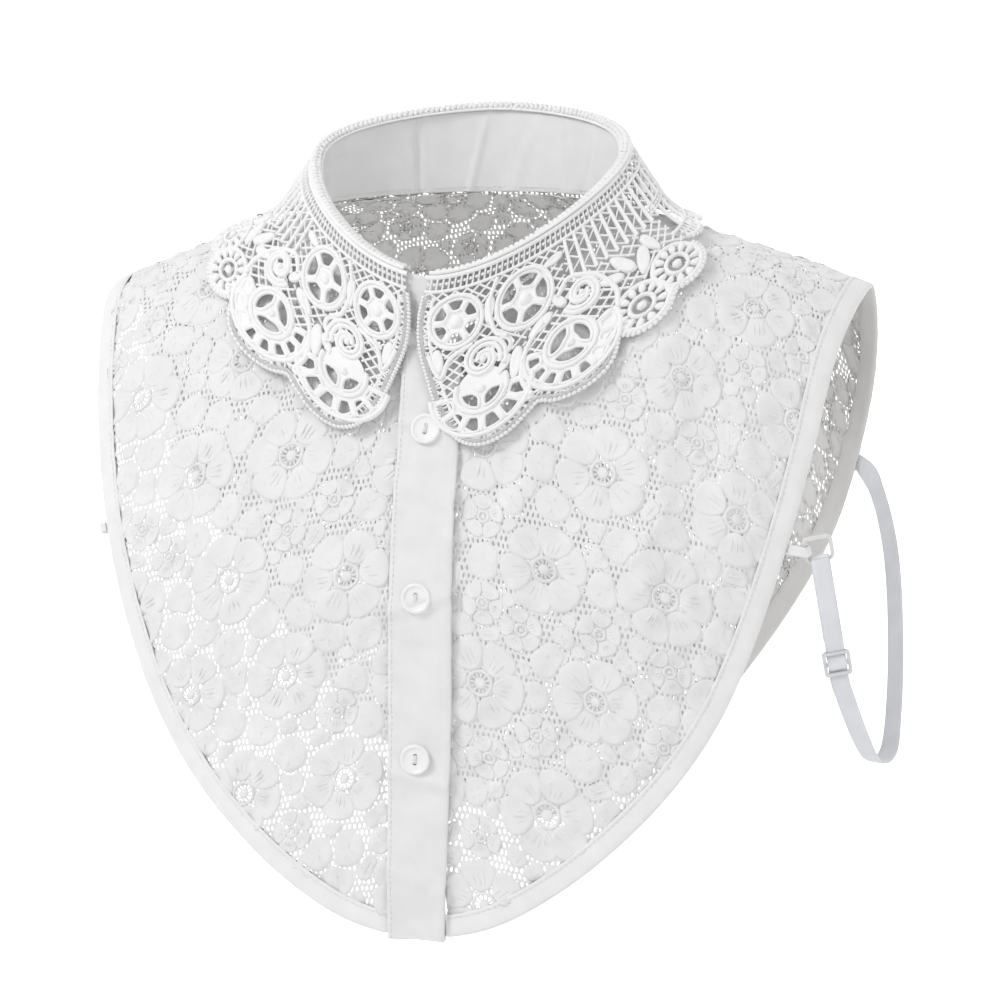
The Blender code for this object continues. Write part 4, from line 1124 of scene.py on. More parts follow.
class Band:
    """A long strip of cloth by the way along it and across it, with its middle surface."""

    def __init__(self, points, facing=1):
        """points[row, column]: rows along the strip, columns across it."""
        self.points = points
        normal = np.cross(np.gradient(points, axis=0), np.gradient(points, axis=1)) * facing
        self.normals = normal / np.linalg.norm(normal, axis=-1, keepdims=True)
        middle = points[:, points.shape[1] // 2]
        self.along = way_along(middle)
        self.across = way_along(points[len(points) // 2])

    @property
    def length(self):
        return float(self.along[-1])

    @property
    def width(self):
        return float(self.across[-1])

    @property
    def area(self):
        """The area of its middle surface, in square metres."""
        over, under = np.diff(self.points, axis=0)[:, :-1], np.diff(self.points, axis=1)[:-1]
        return float(np.linalg.norm(np.cross(over, under), axis=-1).sum()) * MM * MM

    def hang(self, flat):
        """Points of a flat pattern (along, across, raised) on the strip."""
        row = np.interp(flat[:, 0], self.along, np.arange(len(self.along)))
        column = np.interp(flat[:, 1], self.across, np.arange(len(self.across)))
        return read_grid((self.points, self.normals), row, column, flat[:, 2])


STITCH_LONG, STITCH_APART, STITCH_THICK = 1.9, 2.6, 0.42


def stitch_shape():
    """One sewn stitch lying on cloth, sunk at its ends."""
    thread = Flat()
    half = STITCH_LONG / 2
    run = [(x * half, 0) for x in (-1, -0.6, 0, 0.6, 1)]
    thread.cord(run, STITCH_THICK, STITCH_THICK * 0.8, -0.05, taper=True)
    return helper("stitch", thread.all_points(), thread.faces)


def stitches(name, path, hang, raised):
    """A row of stitches along a flat path, hung like the cloth they go through."""
    path = np.asarray(path, float)
    line = spaced(path, max(2, round(way_along(path)[-1] / STITCH_APART)))
    way = np.gradient(line, axis=0)
    turns = np.zeros((len(line), 3))
    turns[:, 2] = np.arctan2(way[:, 1], way[:, 0]) + RANDOM.normal(0, 0.05, len(line))
    places = np.column_stack([line + RANDOM.normal(0, 0.06, line.shape), np.full(len(line), raised)])
    shape = stitch_shape()
    grown = np.ones((len(line), 3)) * RANDOM.uniform(0.93, 1.05, (len(line), 1))
    made = repeated(name, shape, places, turns, grown, THREAD)
    points, faces = mesh_arrays(made)
    bpy.data.objects.remove(shape, do_unlink=True)
    return new_object(name, hang(points), faces, points, THREAD)


def swept(name, band, section, count, material, closed, wave=None):
    """A piece with one cross-section (across, raised) along a whole band."""
    section = np.asarray(section, float)
    along = np.linspace(0, band.length, count)
    rows = np.empty((count, len(section), 3))
    rows[..., 0] = along[:, None]
    rows[..., 1:] = section
    if wave is not None:
        rows[..., 2] += wave(rows[..., 0], rows[..., 1])
    shape = Flat()
    shape.grid(rows, closed_columns=closed)
    if closed:
        last = len(section) * (count - 1)
        shape.faces.append(tuple(range(len(section))))
        shape.faces.append(tuple(last + i for i in range(len(section)))[::-1])
    flat = shape.all_points()
    return new_object(name, band.hang(flat), shape.faces, flat, material)


def ripple(size, lengths, phase):
    """A small uneven wave along a strip."""
    def raised(along, across):
        wave = sum(
            np.sin(2 * math.pi * along / l + phase * i + 0.3 * across)
            for i, l in enumerate(lengths, 1)
        )
        return size * wave / len(lengths)
    return raised


# ---------------------------------------------------------------- binding

BINDING_SECTION = (
    # across from the cut edge, raised: inner face, fold, outer face
    (9.9, -0.75),
    (9.4, -1.15),
    (6.0, -1.0),
    (2.5, -1.2),
    (0.6, -0.9),
    (0.0, 0.0),
    (0.5, 0.95),
    (1.6, 1.25),
    (3.6, 1.15),
    (5.6, 1.05),
    (7.4, 0.95),
    (8.2, 0.72),
    (8.9, 1.0),
    (9.7, 0.95),
    (10.0, 0.65),
    (9.8, 0.35),
)
BINDING_STITCH = 8.3  # across, from the cut edge


def binding_band(cloth, rows, first_x, side):
    """The strip that the folded tape lies on; side 0 makes it run round both halves."""
    edge = edge_curve(cloth, rows)
    edge = edge[edge[:, 0] >= first_x]
    edge = np.concatenate([edge, [(first_x, edge[-1, 1])]])
    edge = even(cloth, edge, 220)
    inner = inset(cloth, edge, BINDING_WIDTH)
    inner[0, 1] = edge[0, 1]
    inner[-1, 0] = first_x
    share = np.linspace(0, 1, 6)[None, :, None]
    strip = edge[:, None] * (1 - share) + inner[:, None] * share
    if side == 0:
        strip = np.concatenate([strip, strip[-2::-1] * (-1, 1)])
    elif side < 0:
        strip = strip * (-1, 1)
    return Band(cloth.lie(strip[..., 0], strip[..., 1], PANEL_WALL / 2), facing=-side if side else -1)


def binding(name, cloth, rows, first_x, side, material=BINDING):
    """The folded tape sewn round a cut edge."""
    band = binding_band(cloth, rows, first_x, side)
    if (band.normals[:, 3] * (band.points[:, 3] - (0, 5, 0))).sum() < 0:
        band.normals *= -1
    pucker = ripple(0.16, (31.0, 13.7, 7.9), 1.3)
    steps = round(band.length / 1.6)
    tape = swept(name + "_tape", band, BINDING_SECTION, steps, material, False, pucker)
    dress(tape, (name,))
    line = np.stack([np.linspace(2, band.length - 2, 60), np.full(60, BINDING_STITCH)], -1)
    sewn = stitches(name + "_stitches", line, band.hang, 0.82)
    dress(sewn)
    return tape


# ---------------------------------------------------------------- plackets

def placket_band(lift, free_edge):
    """The strip that a placket lies on: its middle, lifted off the panels."""
    top = float(fronts.down_at(0.0, float(neck_plan(0.0)[1]))[0]) + PLACKET_TOP
    bottom = fronts.down_to(0.0, FRONT_EDGE[-1][1])
    share = np.linspace(0, 1, 90)
    free = free_edge(share)
    across = PLACKET_SEAM + (free - PLACKET_SEAM)[:, None] * np.linspace(0, 1, 12)
    down = np.repeat((top + share * (bottom - top))[:, None], 12, axis=1)
    return Band(fronts.lie(across, down, lift))


def cloth_section(width, wall, edge=0.7):
    """A closed flat cross-section with soft folded edges."""
    half = wall / 2
    face = [(edge * 0.4, 0.7 * half), (edge, half), *[(w, half) for w in np.linspace(2.4, width - 2.4, 9)],
            (width - edge, half), (width - edge * 0.4, 0.7 * half), (width, 0.0)]
    under = [(w, -h) for w, h in face[::-1][1:]]
    return [(0.0, 0.0), *face, *under]


PLACKET_FOLDS = (
    # along from the neck, half width, raised, how far it leans down towards the free edge
    (32, 3.0, 1.1, 0.15),
    (47, 5.0, -0.4, -0.1),
    (58, 3.5, 1.4, 0.35),
    (88, 6.0, -0.35, 0.2),
    (113, 3.2, 1.5, -0.3),
    (126, 3.0, -0.45, 0.1),
    (150, 5.0, 1.2, 0.5),
    (181, 3.2, 1.4, 0.2),
    (194, 4.0, -0.45, -0.2),
    (222, 4.0, 1.2, 0.35),
    (240, 4.0, -0.3, 0.1),
)
PLACKET_PUCKER, PLACKET_PUCKER_APART = 0.22, 6.3  # along its sewn side


def placket_wear(along, across):
    """Worn folds across the placket and small puckers along its sewn side."""
    raised = 0.35 * (1 + np.sin(along / 9.0 + 0.2 * across))
    for place, width, height, lean in PLACKET_FOLDS:
        raised = raised + height * np.exp(-(((along - place - lean * across) / width) ** 2))
    pucker = np.sin(2 * math.pi * along / PLACKET_PUCKER_APART + np.sin(along / 9.0))
    return raised + PLACKET_PUCKER * pucker * np.exp(-across / 2.5)


def placket(name, lift, wall, free_edge, pucker):
    """A straight strip of folded cotton down the middle of the front."""
    band = placket_band(lift + wall / 2, free_edge)
    if band.normals[:, :, 1].mean() > 0:
        band.normals *= -1
    width = band.width
    strip = swept(name + "_cotton", band, cloth_section(width, wall), 260, COTTON, True, pucker)
    dress(strip, (name,))
    if pucker:
        line = np.stack([np.linspace(1, band.length - 1, 90), np.full(90, 1.8)], -1)

        def hang(flat):
            raised = flat[:, 2] + pucker(flat[:, 0], flat[:, 1])
            return band.hang(np.column_stack([flat[:, :2], raised]))

        dress(stitches(name + "_stitches", line, hang, wall / 2 + 0.05))


# ---------------------------------------------------------------- stand

def stand_turns():
    """The angles at which the stand's button end starts and its buttonhole end stops."""
    lap = math.asin((STAND_LAP / NECK_HALF_WIDTH) ** (1 / NECK_POINT))
    return -lap, 2 * math.pi + lap


def stand_band():
    """The strip that the stand is: from its foot to its top edge, round the neck."""
    first, last = stand_turns()
    turns = np.linspace(first, last, 150)
    seams = np.array([neck_seam(turn % (2 * math.pi)) for turn in turns])
    foot = seams[:, 2] + STAND_FOOT
    lifts = STAND_LAP_LIFT * np.clip((turns - LAP_STARTS) / LAP_RISES, 0, 1)
    share = np.linspace(0, 1, 10)[None]
    x = np.repeat((seams[:, 0] + lifts * np.sin(turns))[:, None], 10, axis=1)
    y = np.repeat((seams[:, 1] - lifts * np.cos(turns))[:, None], 10, axis=1)
    z = foot[:, None] + share * (rim_height(turns) - foot)[:, None]
    return Band(np.stack([x, y, z], -1))


def collar_stand():
    """The cotton band round the neck, creased where it has been folded and worn."""
    band = stand_band()
    middle = band.points.mean((0, 1))
    if ((band.points[:, 5] - middle) * band.normals[:, 5]).sum() < 0:
        band.normals *= -1
    width = band.width
    across = cloth_section(width, STAND_WALL, 0.6)
    creases = RANDOM.uniform(8, band.length - 8, 26)
    depth = RANDOM.uniform(0.5, 1.5, 26) * RANDOM.choice((-1, 1), 26)
    spread = RANDOM.uniform(1.2, 3.2, 26)
    slant = RANDOM.uniform(-0.45, 0.45, 26)

    def worn(along, up):
        wave = 0.0
        for place, height, width_of, lean in zip(creases, depth, spread, slant):
            wave = wave + height * np.exp(-(((along - place - lean * up) / width_of) ** 2))
        return wave * np.clip((width - up) / 9.0, 0.25, 1.0)

    strip = swept("collar_stand_cotton", band, across, 420, COTTON, True, worn)
    dress(strip, ("collar_stand",))
    line = np.stack([np.linspace(3, band.length - 3, 80), np.full(80, 2.2)], -1)
    for word, face in (("outer", 1), ("inner", -1)):
        def hang(flat, face=face):
            return band.hang(flat * (1, 1, face))
        sewn = stitches(f"stand_stitches_{word}", line, hang, STAND_WALL / 2 + 0.12)
        dress(sewn)


# ---------------------------------------------------------------- buttons

def frame_at(place, across, along):
    """A matrix at a place in millimetres: X across, Y along, Z off the cloth."""
    along = Vector(along).normalized()
    across = Vector(across)
    across = (across - across.dot(along) * along).normalized()
    turned = Matrix((across, along, across.cross(along))).transposed().to_4x4()
    return Matrix.Translation(Vector(place)) @ turned


def button_shape():
    """A turned disc with a rim and a dished middle, and two holes one above the other."""
    r, top = BUTTON_RADIUS, BUTTON_WALL
    floor, inner = top - BUTTON_DISH, BUTTON_RADIUS - BUTTON_RIM
    profile = (
        (0, 0), (r - 1.3, 0), (r - 0.6, 0.15), (r - 0.2, 0.5), (r, top - 0.8), (r - 0.1, top - 0.4),
        (r - 0.35, top - 0.1), (r - 0.7, top), (inner + 0.4, top), (inner + 0.1, top - 0.08),
        (inner - 0.3, floor + 0.12), (inner - 0.7, floor), (0, floor),
    )
    bm = bmesh.new()
    verts = [bm.verts.new((x, 0, z)) for x, z in profile]
    line = [bm.edges.new(pair) for pair in zip(verts, verts[1:])]
    axis, middle = (0, 0, 1), (0, 0, 0)
    bmesh.ops.spin(bm, geom=verts + line, axis=axis, cent=middle, steps=56, angle=2 * math.pi)
    bmesh.ops.remove_doubles(bm, verts=bm.verts, dist=0.001)
    bmesh.ops.recalc_face_normals(bm, faces=bm.faces)
    disc = bpy.data.meshes.new("button_disc")
    bm.to_mesh(disc)
    bm.free()
    bm = bmesh.new()
    for up in (-1, 1):
        spot = Matrix.Translation((0, up * BUTTON_HOLE_APART / 2, 0))
        radius = BUTTON_HOLE_RADIUS
        bmesh.ops.create_cone(
            bm, cap_ends=True, segments=24, radius1=radius, radius2=radius,
            depth=4 * BUTTON_WALL, matrix=spot,
        )
    holes = bpy.data.meshes.new("button_holes")
    bm.to_mesh(holes)
    bm.free()
    cutter = bpy.data.objects.new("button_holes", holes)
    whole = bpy.data.objects.new("button_disc", disc)
    for made in (cutter, whole):
        bpy.context.scene.collection.objects.link(made)
    cut = whole.modifiers.new("Holes", "BOOLEAN")
    cut.object = cutter
    cut.solver = "EXACT"
    bpy.context.view_layer.update()
    graph = bpy.context.evaluated_depsgraph_get()
    mesh = bpy.data.meshes.new_from_object(whole.evaluated_get(graph))
    for made in (cutter, whole):
        bpy.data.objects.remove(made, do_unlink=True)
    return mesh


def button_thread():
    """The threads between a button's two holes, and those that hold it to the cloth."""
    half = BUTTON_HOLE_APART / 2
    floor = BUTTON_WALL - BUTTON_DISH
    bm = bmesh.new()
    for across in (-0.5, -0.17, 0.17, 0.5):
        for rise in (-0.1, 0.15):
            path = [(across, -half - 0.3, floor - 0.9), (across, -half + 0.15, floor + 0.1 + rise),
                    (across * 0.7, 0, floor + 0.28 + rise), (across, half - 0.15, floor + 0.1 + rise),
                    (across, half + 0.3, floor - 0.9)]
            rings = []
            for x, y, z in rounded(path, 4):
                ring = [bm.verts.new((x + 0.2 * math.cos(a), y, z + 0.2 * math.sin(a)))
                        for a in np.radians(np.arange(0, 360, 60))]
                rings.append(ring)
            for near, far in zip(rings, rings[1:]):
                for i in range(6):
                    bm.faces.new((near[i], near[(i + 1) % 6], far[(i + 1) % 6], far[i]))
    mesh = bpy.data.meshes.new("button_thread")
    bm.to_mesh(mesh)
    bm.free()
    return mesh


def placed(name, mesh, place, material):
    """A copy of a mesh in millimetres, put at a place and kept there."""
    mesh = mesh.copy()
    mesh.transform(Matrix.Scale(MM, 4) @ place)
    mesh.materials.clear()
    mesh.materials.append(material)
    mesh.shade_smooth()
    made = bpy.data.objects.new(name, mesh)
    bpy.context.scene.collection.objects.link(made)
    return made


BUTTON_HEIGHTS = (-88.0, -157.0, -225.0)
STAND_BUTTON_ABOVE, BUTTON_SEAT = 10.0, 0.3
BUTTON_TURNS = (4.0, -7.0, 3.0, -4.0)  # degrees, as sewn on by hand


def button_places():
    """Where each button sits: on the stand, then down the placket."""
    seam = neck_seam(0.0)
    off = STAND_LAP_LIFT + STAND_WALL / 2 + BUTTON_SEAT
    places = [frame_at((seam[0], seam[1] - off, seam[2] + STAND_BUTTON_ABOVE), (1, 0, 0), (0, 0, 1))]
    lift = OVER_PLACKET_LIFT + OVER_PLACKET_WALL + BUTTON_SEAT
    for height in BUTTON_HEIGHTS:
        down = fronts.down_to(0.0, height)
        place, above = fronts.at(0.0, down, lift), fronts.at(0.0, down - 4, lift)
        places.append(frame_at(place, (1, 0, 0), above - place))
    return places


def buttons():
    """The sewn-on buttons and their threads."""
    disc, thread = button_shape(), button_thread()
    for i, (place, turn) in enumerate(zip(button_places(), BUTTON_TURNS), 1):
        place = place @ Matrix.Rotation(math.radians(turn), 4, "Z")
        round_one = placed(f"button_{i}_disc", disc, place, BUTTON)
        edges = round_one.modifiers.new("Edges", "EDGE_SPLIT")
        edges.split_angle = math.radians(50)
        dress(round_one, (f"button_{i}",))
        dress(placed(f"button_{i}_thread", thread, place, THREAD))


# ---------------------------------------------------------------- guipure of the collar's fall

FALL_LENGTH, FALL_DEPTH, FALL_SCALLOPS, SCALLOP_DEPTH = 205.0, 43.0, 8, 3.0
FALL_FLOWERS = (
    # round, down, radius of the two round flowers on the lower edge
    (112.0, 48.5, 9.6),
    (127.5, 53.5, 9.6),
)
FALL_POINT = (
    # round, down: from the flowers round the collar point and up its front edge
    (136.5, 58),
    (141, 67),
    (149, 70.5),
    (158, 69.5),
    (164, 66.5),
    (168, 69),
    (176, 74),
    (185, 75),
    (193, 70),
    (199.5, 59),
    (204, 45),
    (208, 32),
    (209, 20),
    (207.5, 9),
)
LADDERS = (
    # first slot's middle, pitch, count, from, to, slot width
    (5.2, 4.9, 19, 8, 20.5, 3.3),
    (5.2, 4.9, 19, 24, 36.5, 3.3),
    (107.5, 4.9, 4, 8, 18.5, 3.3),
    (131.0, 4.9, 4, 9, 21, 3.3),
)
FANS = (
    # middle round, down, inner radius, outer radius, from degrees, to degrees, cells
    (184.0, 52.0, 11.5, 18.0, 8, 172, 6),
    (184.0, 52.0, 3.0, 8.0, 0, 180, 2),
    (151.0, 50.0, 10.5, 15.5, -10, 190, 8),
    (151.0, 50.0, 2.8, 7.6, 20, 380, 3),
    (194.0, 21.0, 4.5, 9.5, 0, 360, 6),
    (165.0, 22.0, 4.5, 10.5, 0, 360, 5),
    (175.5, 37.5, 0.0, 3.6, 0, 360, 1),
)
FAN_BAR = 1.6
PLATE_FROM = 103.0  # round, where the closer lace of the front starts
CORD, FINE_CORD = (2.0, 1.5), (1.1, 0.9)  # width, height
LATTICE_APART = 3.3
GUIPURE_BASE = -0.6  # raised, of the cords' undersides from the fall's middle


def fall_outline():
    """The closed outline of half the fall, in its flat pattern (round, down)."""
    start = FALL_FLOWERS[0][0] - FALL_FLOWERS[0][2] - 1.0
    pitch = start / FALL_SCALLOPS
    lower = []
    for i in range(FALL_SCALLOPS):
        for share in np.linspace(0, 1, 12, endpoint=False):
            drop = math.sin(math.pi * share) ** 0.8
            lower.append(((i + share) * pitch, FALL_DEPTH + drop * SCALLOP_DEPTH))
    first, second = FALL_FLOWERS
    flowers = np.concatenate([
        arc(first[:2], first[2], 190, 55),
        arc(second[:2], second[2], 150, 30),
    ])
    front = rounded(FALL_POINT, 6)
    upper = np.stack([np.linspace(FALL_LENGTH, 0.0, 60), np.zeros(60)], -1)
    return np.concatenate([np.array(lower), flowers, front, upper])


def fall_windows():
    """The gaps of half the fall, as closed outlines in its flat pattern."""
    windows = []
    for first, pitch, count, start, end, width in LADDERS:
        for i in range(count):
            middle = first + i * pitch
            left, right = middle - width / 2, middle + width / 2
            windows.append(np.array([(left, start), (right, start), (right, end), (left, end)]))
    for u, t, inner, outer, first, last, cells in FANS:
        if inner == 0:
            windows.append(arc((u, t), outer, 0, 360)[:-1])
            continue
        step = (last - first) / cells
        for i in range(cells):
            a, b = first + i * step, first + (i + 1) * step
            near, far = (math.degrees(FAN_BAR / 2 / radius) for radius in (inner, outer))
            outside = arc((u, t), outer, a + far, b - far, 1.2)
            within = arc((u, t), inner, b - near, a + near, 1.2)
            windows.append(np.concatenate([outside, within]))
    return windows


def fan_zones():
    """The closer lace round each fan of cells, as closed outlines."""
    zones = []
    for u, t, inner, outer, first, last, _ in FANS:
        whole = last - first == 360 or inner in (2.8, 3.0)
        turns = (0, 360) if whole else (first - 4, last + 4)
        zone = arc((u, t), outer + 1.2, *turns, 1.2)
        if not whole:
            zone = np.concatenate([zone, arc((u, t), inner - 1.2, *turns[::-1], 1.2)])
        zones.append(zone[:-1] if whole else zone)
    return zones


def plate(lace, zones, windows):
    """The closer lace of the front: a skin round its fans, cut with their cells."""
    rings = [*zones, *windows]
    points, edges = [], []
    for ring in rings:
        count = len(points)
        points += [tuple(p) for p in ring]
        edges += [(count + i, count + (i + 1) % len(ring)) for i in range(len(ring))]
    flat, _, faces, *_ = delaunay_2d_cdt([Vector(p) for p in points], edges, [], 0, 1e-5)
    flat = np.array([tuple(p) for p in flat])
    middles = np.array([flat[list(face)].mean(0) for face in faces])
    kept = np.zeros(len(faces), bool)
    for ring in zones:
        kept |= inside(middles, ring)
    for ring in windows:
        kept &= ~inside(middles, ring)
    faces = [face for face, keep in zip(faces, kept) if keep]
    lace.add(np.column_stack([flat, np.full(len(flat), 0.1)]), faces)


def runs(line, clear):
    """The stretches of a line whose points are clear."""
    marks = np.flatnonzero(np.diff(np.concatenate([[0], clear.astype(int), [0]])))
    return [line[a:b] for a, b in zip(marks[::2], marks[1::2]) if b - a > 2]


def lattice(lace, outline, solid):
    """Fine crossing threads over what the front's raised shapes leave open."""
    low, high = np.array((PLATE_FROM - 1, 7.0)), np.array((209.0, 76.0))
    reach = np.linalg.norm(high - low)
    middle = (low + high) / 2
    for turn in (38, 142):
        way = polar((0, 0), 1.0, turn)
        off = np.array((-way[1], way[0]))
        for shift in np.arange(-reach / 2, reach / 2, LATTICE_APART):
            swing = RANDOM.uniform(-0.25, 0.25)
            line = middle + off * (shift + swing) + way * np.arange(-reach / 2, reach / 2, 1.0)[:, None]
            clear = inside(line, outline) & (line > low).all(1)
            clear &= (line[:, 0] > 147) | (line[:, 1] > 26)
            for shape in solid:
                clear &= ~inside(line, shape)
            for run in runs(line, clear):
                lace.cord(run, 0.95, 0.8, GUIPURE_BASE + 0.2)


def posts(lace, outline, solid):
    """Upright cords with threads zigzagging between them, over the front's shoulders."""
    pitch = LADDERS[0][1]
    uprights = np.arange(LADDERS[2][0] - 1.5 * pitch, 149, pitch)
    for u in uprights:
        line = np.stack([np.full(60, u), np.linspace(7.2, 36, 60)], -1)
        zigzag = line + np.stack([pitch * np.abs((np.arange(60) / 8.0) % 2 - 1), np.zeros(60)], -1)
        for path, width in ((line, 1.7), (zigzag, 0.8)):
            clear = inside(path, outline) & ((path[:, 0] < 147) & (path[:, 1] < 27))
            for shape in solid:
                clear &= ~inside(path, shape)
            for run in runs(path, clear):
                lace.cord(run, width, 0.75 * width, GUIPURE_BASE + 0.1)


def spiral(middle, start, end, first, turns):
    """A flat curl from a wide to a narrow radius."""
    count = int(turns * 26)
    way = np.radians(first + np.linspace(0, 360 * turns, count))
    radius = np.linspace(start, end, count)
    return np.stack([middle[0] + radius * np.cos(way), middle[1] + radius * np.sin(way)], -1)


def barred(lace, line, inward, near, far, apart):
    """Two cords beside each other with short bars between them."""
    lace.cord(line + inward * near, *CORD, GUIPURE_BASE)
    lace.cord(line + inward * far, 1.3, 1.2, GUIPURE_BASE)
    way = way_along(line)
    for at in np.arange(1.0, way[-1], apart):
        i = int(np.abs(way - at).argmin())
        bar = spaced([line[i] + inward[i] * near, line[i] + inward[i] * far], 3)
        lace.cord(bar, 0.85, 0.9, GUIPURE_BASE)


LADDER_ROWS = ((7.0, 21.3), (23.4, 37.3))  # top and bottom of each row of rungs
LADDER_CORDS = (  # down from the neck seam, width and height of the cords along the band
    (1.1, 2.2, 1.7), (7.2, 1.5, 1.3), (20.9, 1.3, 1.2), (23.7, 1.3, 1.2), (37.2, 1.5, 1.3),
)
HEADING_PITCH = 4.9  # of the crossed threads and of the beads between two cords


def ladder_lace(lace, relief):
    """The band lace of the back and sides: rungs, crossing threads and two heading rows."""
    base = GUIPURE_BASE
    first, pitch, count = LADDERS[0][:3]
    rungs = [first + (i - 0.5) * pitch for i in range(count + 1)]
    for top, bottom in LADDER_ROWS:
        for u in rungs:
            rung = spaced([(u, top), (u + RANDOM.uniform(-0.2, 0.2), bottom)], 8)
            lace.cord(rung, 1.7, 1.3, base)
        for i in range(count):
            near, far = rungs[i], rungs[i + 1]
            rows = np.linspace(top + 1.2, bottom - 1.2, 4)
            zigzag = [(near if k % 2 == i % 2 else far, row) for k, row in enumerate(rows)]
            lace.cord(spaced(zigzag, 10), 0.8, 0.7, base + 0.2)
    for down, width, height in LADDER_CORDS:
        relief.cord(spaced([(0.0, down), (PLATE_FROM + 2, down)], 90), width, height, base)
    for u in np.arange(1.2, PLATE_FROM, HEADING_PITCH / 2):
        relief.bead((u, 22.3), 0.95, 1.3, base + 0.1)
    for u in np.arange(0.2, PLATE_FROM, HEADING_PITCH):
        next_u = u + HEADING_PITCH
        for a, b in (((u, 2.0), (next_u, 6.6)), ((next_u, 2.0), (u, 6.6))):
            lace.cord(spaced([a, b], 5), 0.9, 0.8, base + 0.2)
        relief.bead((u + HEADING_PITCH / 2, 4.3), 0.85, 1.3, base + 0.2)


def scallops(lace):
    """The lower edge of the back and sides: double arcs with short bars and picots."""
    base = GUIPURE_BASE
    start = FALL_FLOWERS[0][0] - FALL_FLOWERS[0][2] - 1.0
    pitch = start / FALL_SCALLOPS
    for i in range(FALL_SCALLOPS):
        share = np.linspace(0, 1, 14)
        arch = np.sin(np.pi * share) ** 0.8
        outer = np.stack([(i + share) * pitch, FALL_DEPTH - 1.0 + arch * SCALLOP_DEPTH], -1)
        inner = np.stack([(i + share) * pitch, FALL_DEPTH - 3.6 + arch * 1.6], -1)
        lace.cord(outer, *CORD, base)
        lace.cord(inner, *FINE_CORD, base)
        for k in range(1, 13, 2):
            lace.cord(spaced([inner[k], outer[k]], 3), 0.8, 0.8, base)
            lace.cord(spaced([(inner[k, 0], 37.6), inner[k]], 3), 0.8, 0.7, base)
            lace.bead(outer[k] + (0, 1.3), 0.7, 1.2, base + 0.1)


def round_flower(lace, middle, radius):
    """An open round flower: two rings, bars between them and a knot."""
    base = GUIPURE_BASE
    lace.cord(arc(middle, radius - 1.0, 0, 360)[:-1], *CORD, base, closed=True)
    lace.cord(arc(middle, 0.42 * radius, 0, 360)[:-1], 1.6, 1.5, base, closed=True)
    for i in range(12):
        way = 30 * i + 8
        petal = egg(polar(middle, 0.68 * radius, way), 0.44 * radius, 2.6, way, 12)
        lace.dome(petal, ((1.0, base + 0.3), (0.8, base + 1.3), (0.4, base + 1.6)))
    lace.bead(middle, 1.9, 1.8, base)


def softened(ring, count):
    """A closed outline with its corners rounded off."""
    ring = spaced(np.concatenate([ring, ring[:1]]), count + 1)[:-1]
    for _ in range(2):
        ring = (np.roll(ring, 1, axis=0) + 2 * ring + np.roll(ring, -1, axis=0)) / 4
    return ring


